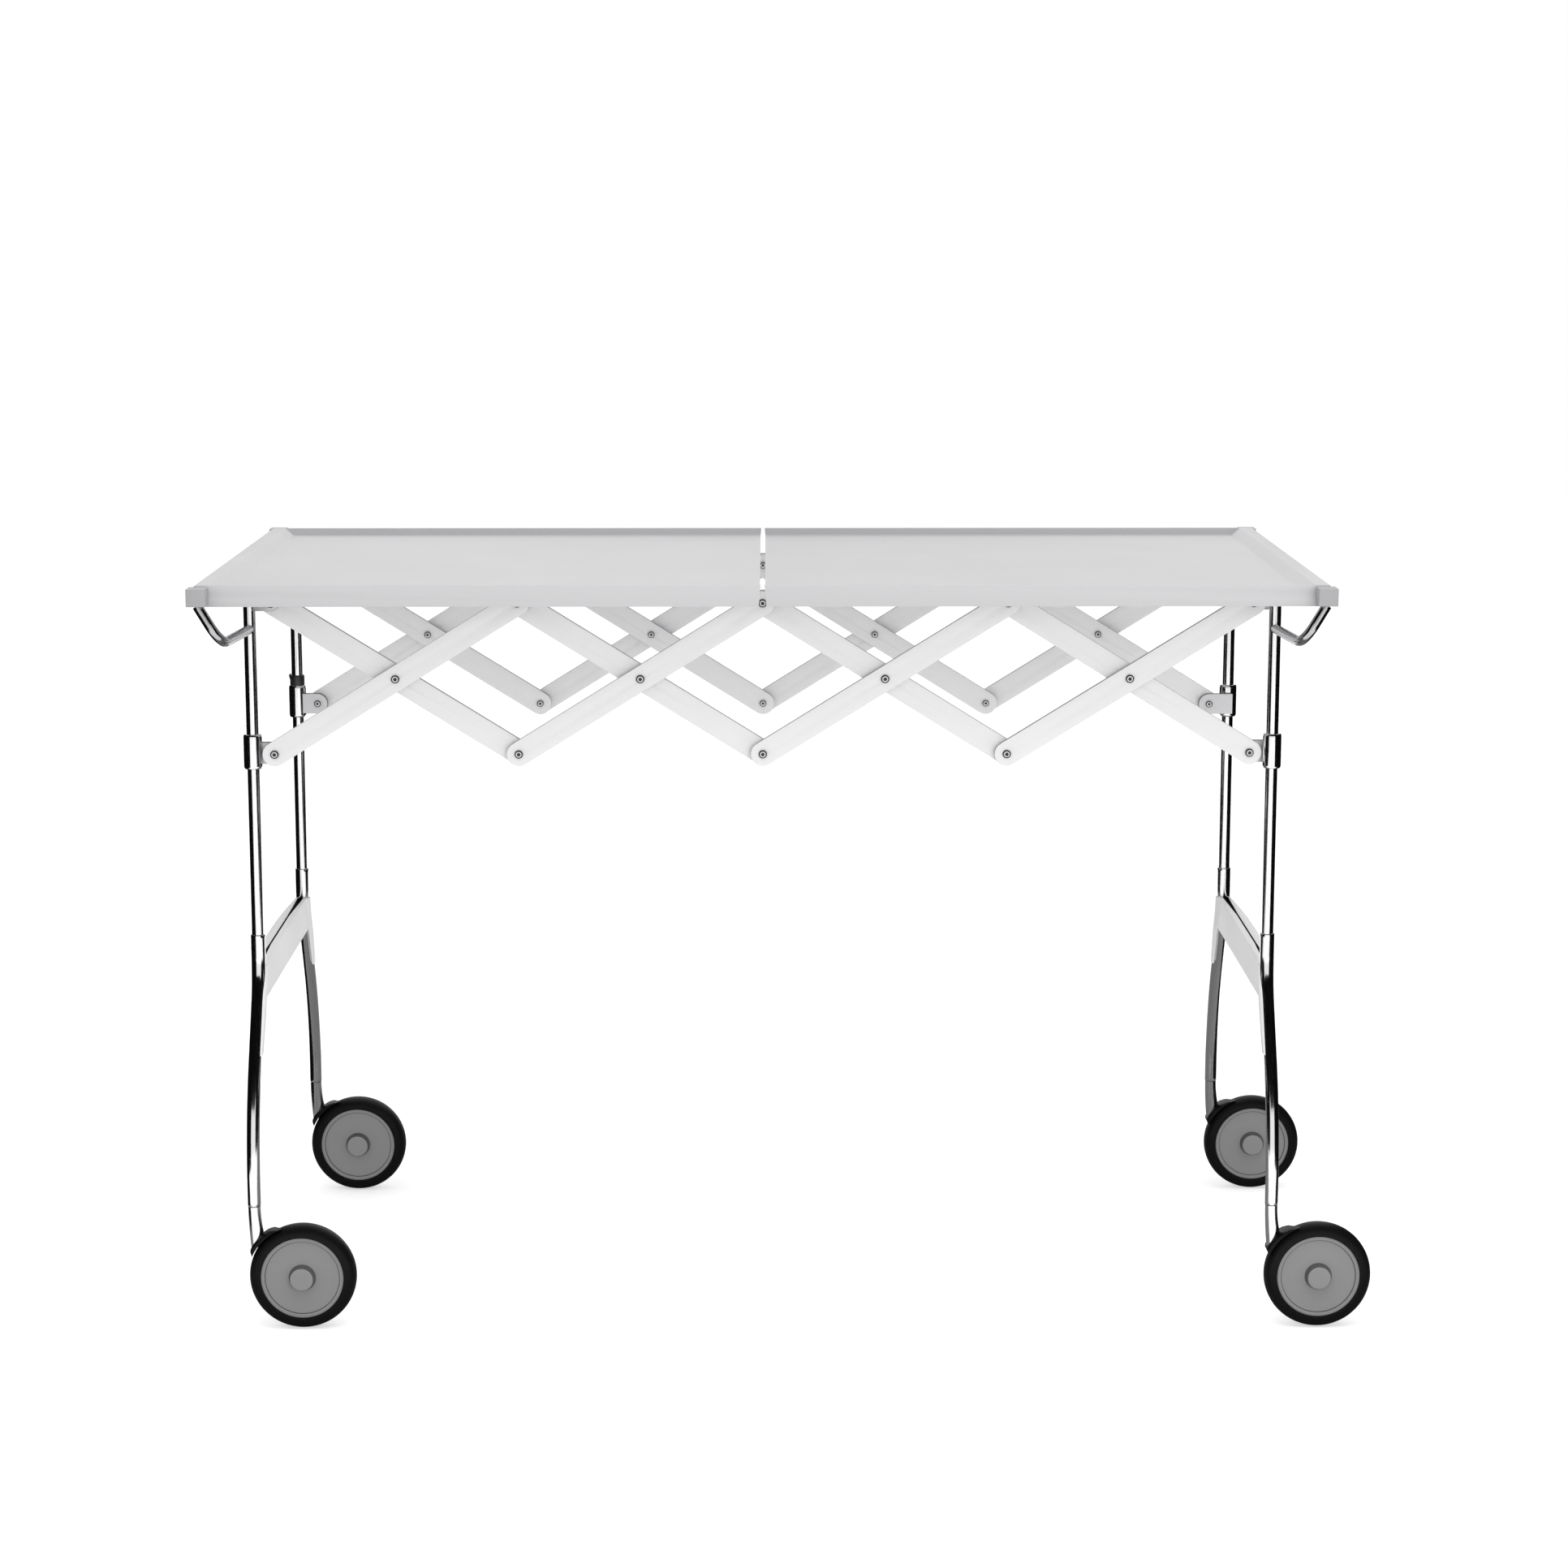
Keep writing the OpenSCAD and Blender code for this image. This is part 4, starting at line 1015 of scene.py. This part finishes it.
def hub_mesh(axle):
    """The hub, whose steps, which face the axle or away from it, take the second material, a
    painted shade.
    """
    rings = [ring_at(axle, r, h, WHEEL_SIDES, "Y") for r, h in soft_profile(HUB_PROFILE)]
    mesh = skin(rings, "hub")
    for face in mesh.polygons:
        face.material_index = 1 if abs(face.normal.y) < STEP_LEAN else 0
    return mesh


def point_round(axle, radius, turn, back):
    """A point round the axle, a distance back from the middle of the wheel."""
    return (axle[0] + radius * math.cos(turn), axle[1] + back, axle[2] + radius * math.sin(turn))


def hood_meshes(axle):
    """A cover over the tyre, thickest under the stem, an arm down its back, and the axle."""
    rings = []
    for back, crown, start in HOOD_ACROSS:
        outer, inner = [], []
        for i in range(HOOD_STEPS + 1):
            turn = math.radians(start + (HOOD_END - start) * i / HOOD_STEPS)
            lean = turn - HOOD_TURN
            side_step = HOOD_SET_OFF * math.sin(lean)
            full = HOOD_SET_OFF * math.cos(lean) + math.sqrt(HOOD_RADIUS ** 2 - side_step ** 2)
            fade = min(1, (HOOD_END - math.degrees(turn)) / HOOD_FADE)
            thick = max(HOOD_THIN, (full - HOOD_INNER) * crown * fade * (2 - fade))
            outer.append(point_round(axle, HOOD_INNER + thick, turn, back))
            inner.append(point_round(axle, HOOD_INNER, turn, back))
        rings.append(outer + inner[::-1])
    low, high = ARM_SPAN
    outline = [(HOOD_INNER + 0.0003, low + (high - low) * i / 8) for i in range(9)]
    round_boss = math.tau - (high - low) - 2 * BOSS_TURN
    outline += [(BOSS_RADIUS, high + BOSS_TURN + round_boss * i / 24) for i in range(25)]
    plate = [[point_round(axle, r - cut, t, back) for r, t in outline] for back, cut in ARM_LAYERS]
    axle_rings = [ring_at(axle, AXLE_RADIUS, height, 32, "Y") for height in AXLE_ENDS]
    return [skin(rings, "cover"), skin(plate, "arm"), skin(axle_rings, "axle")]


for x_sign, letter in ((-1, "l"), (1, "r")):
    for y_sign, end in ((-1, "f"), (1, "b")):
        corner = letter + end
        x = TABLE_MIDDLE + x_sign * UPRIGHT_REACH
        y = y_sign * FOOT_DEPTH
        axle = (x + TRAIL, y, WHEEL_RADIUS)
        profile = soft_profile(TYRE_PROFILE, True)
        rings = [ring_at(axle, r, h, WHEEL_SIDES, "Y") for r, h in profile]
        tyre = plain_object(f"wheel_tyre_{corner}", skin(rings, "tyre", True), rubber)
        fit(tyre, f"wheel_{corner}", "tyre", f"tyre_{corner}")
        hub = plain_object(f"wheel_disc_{corner}", hub_mesh(axle))
        hub.data.materials.append(hub_plastic)
        # Painted shade on the hub's steps.
        hub.data.materials.append(hub_painted_step_shade)
        fit(hub, f"wheel_{corner}", "hub", f"hub_{corner}")
        stem = plain_object(f"swivel_stem_{corner}", stem_mesh(x, y), chrome)
        fit(stem, f"castor_{corner}", "chrome_stem", f"castor_stem_{corner}")
        hood = joined(hood_meshes(axle), f"wheel_hood_{corner}", hood_plastic)
        fit(hood, f"castor_{corner}", "hood", f"castor_hood_{corner}")
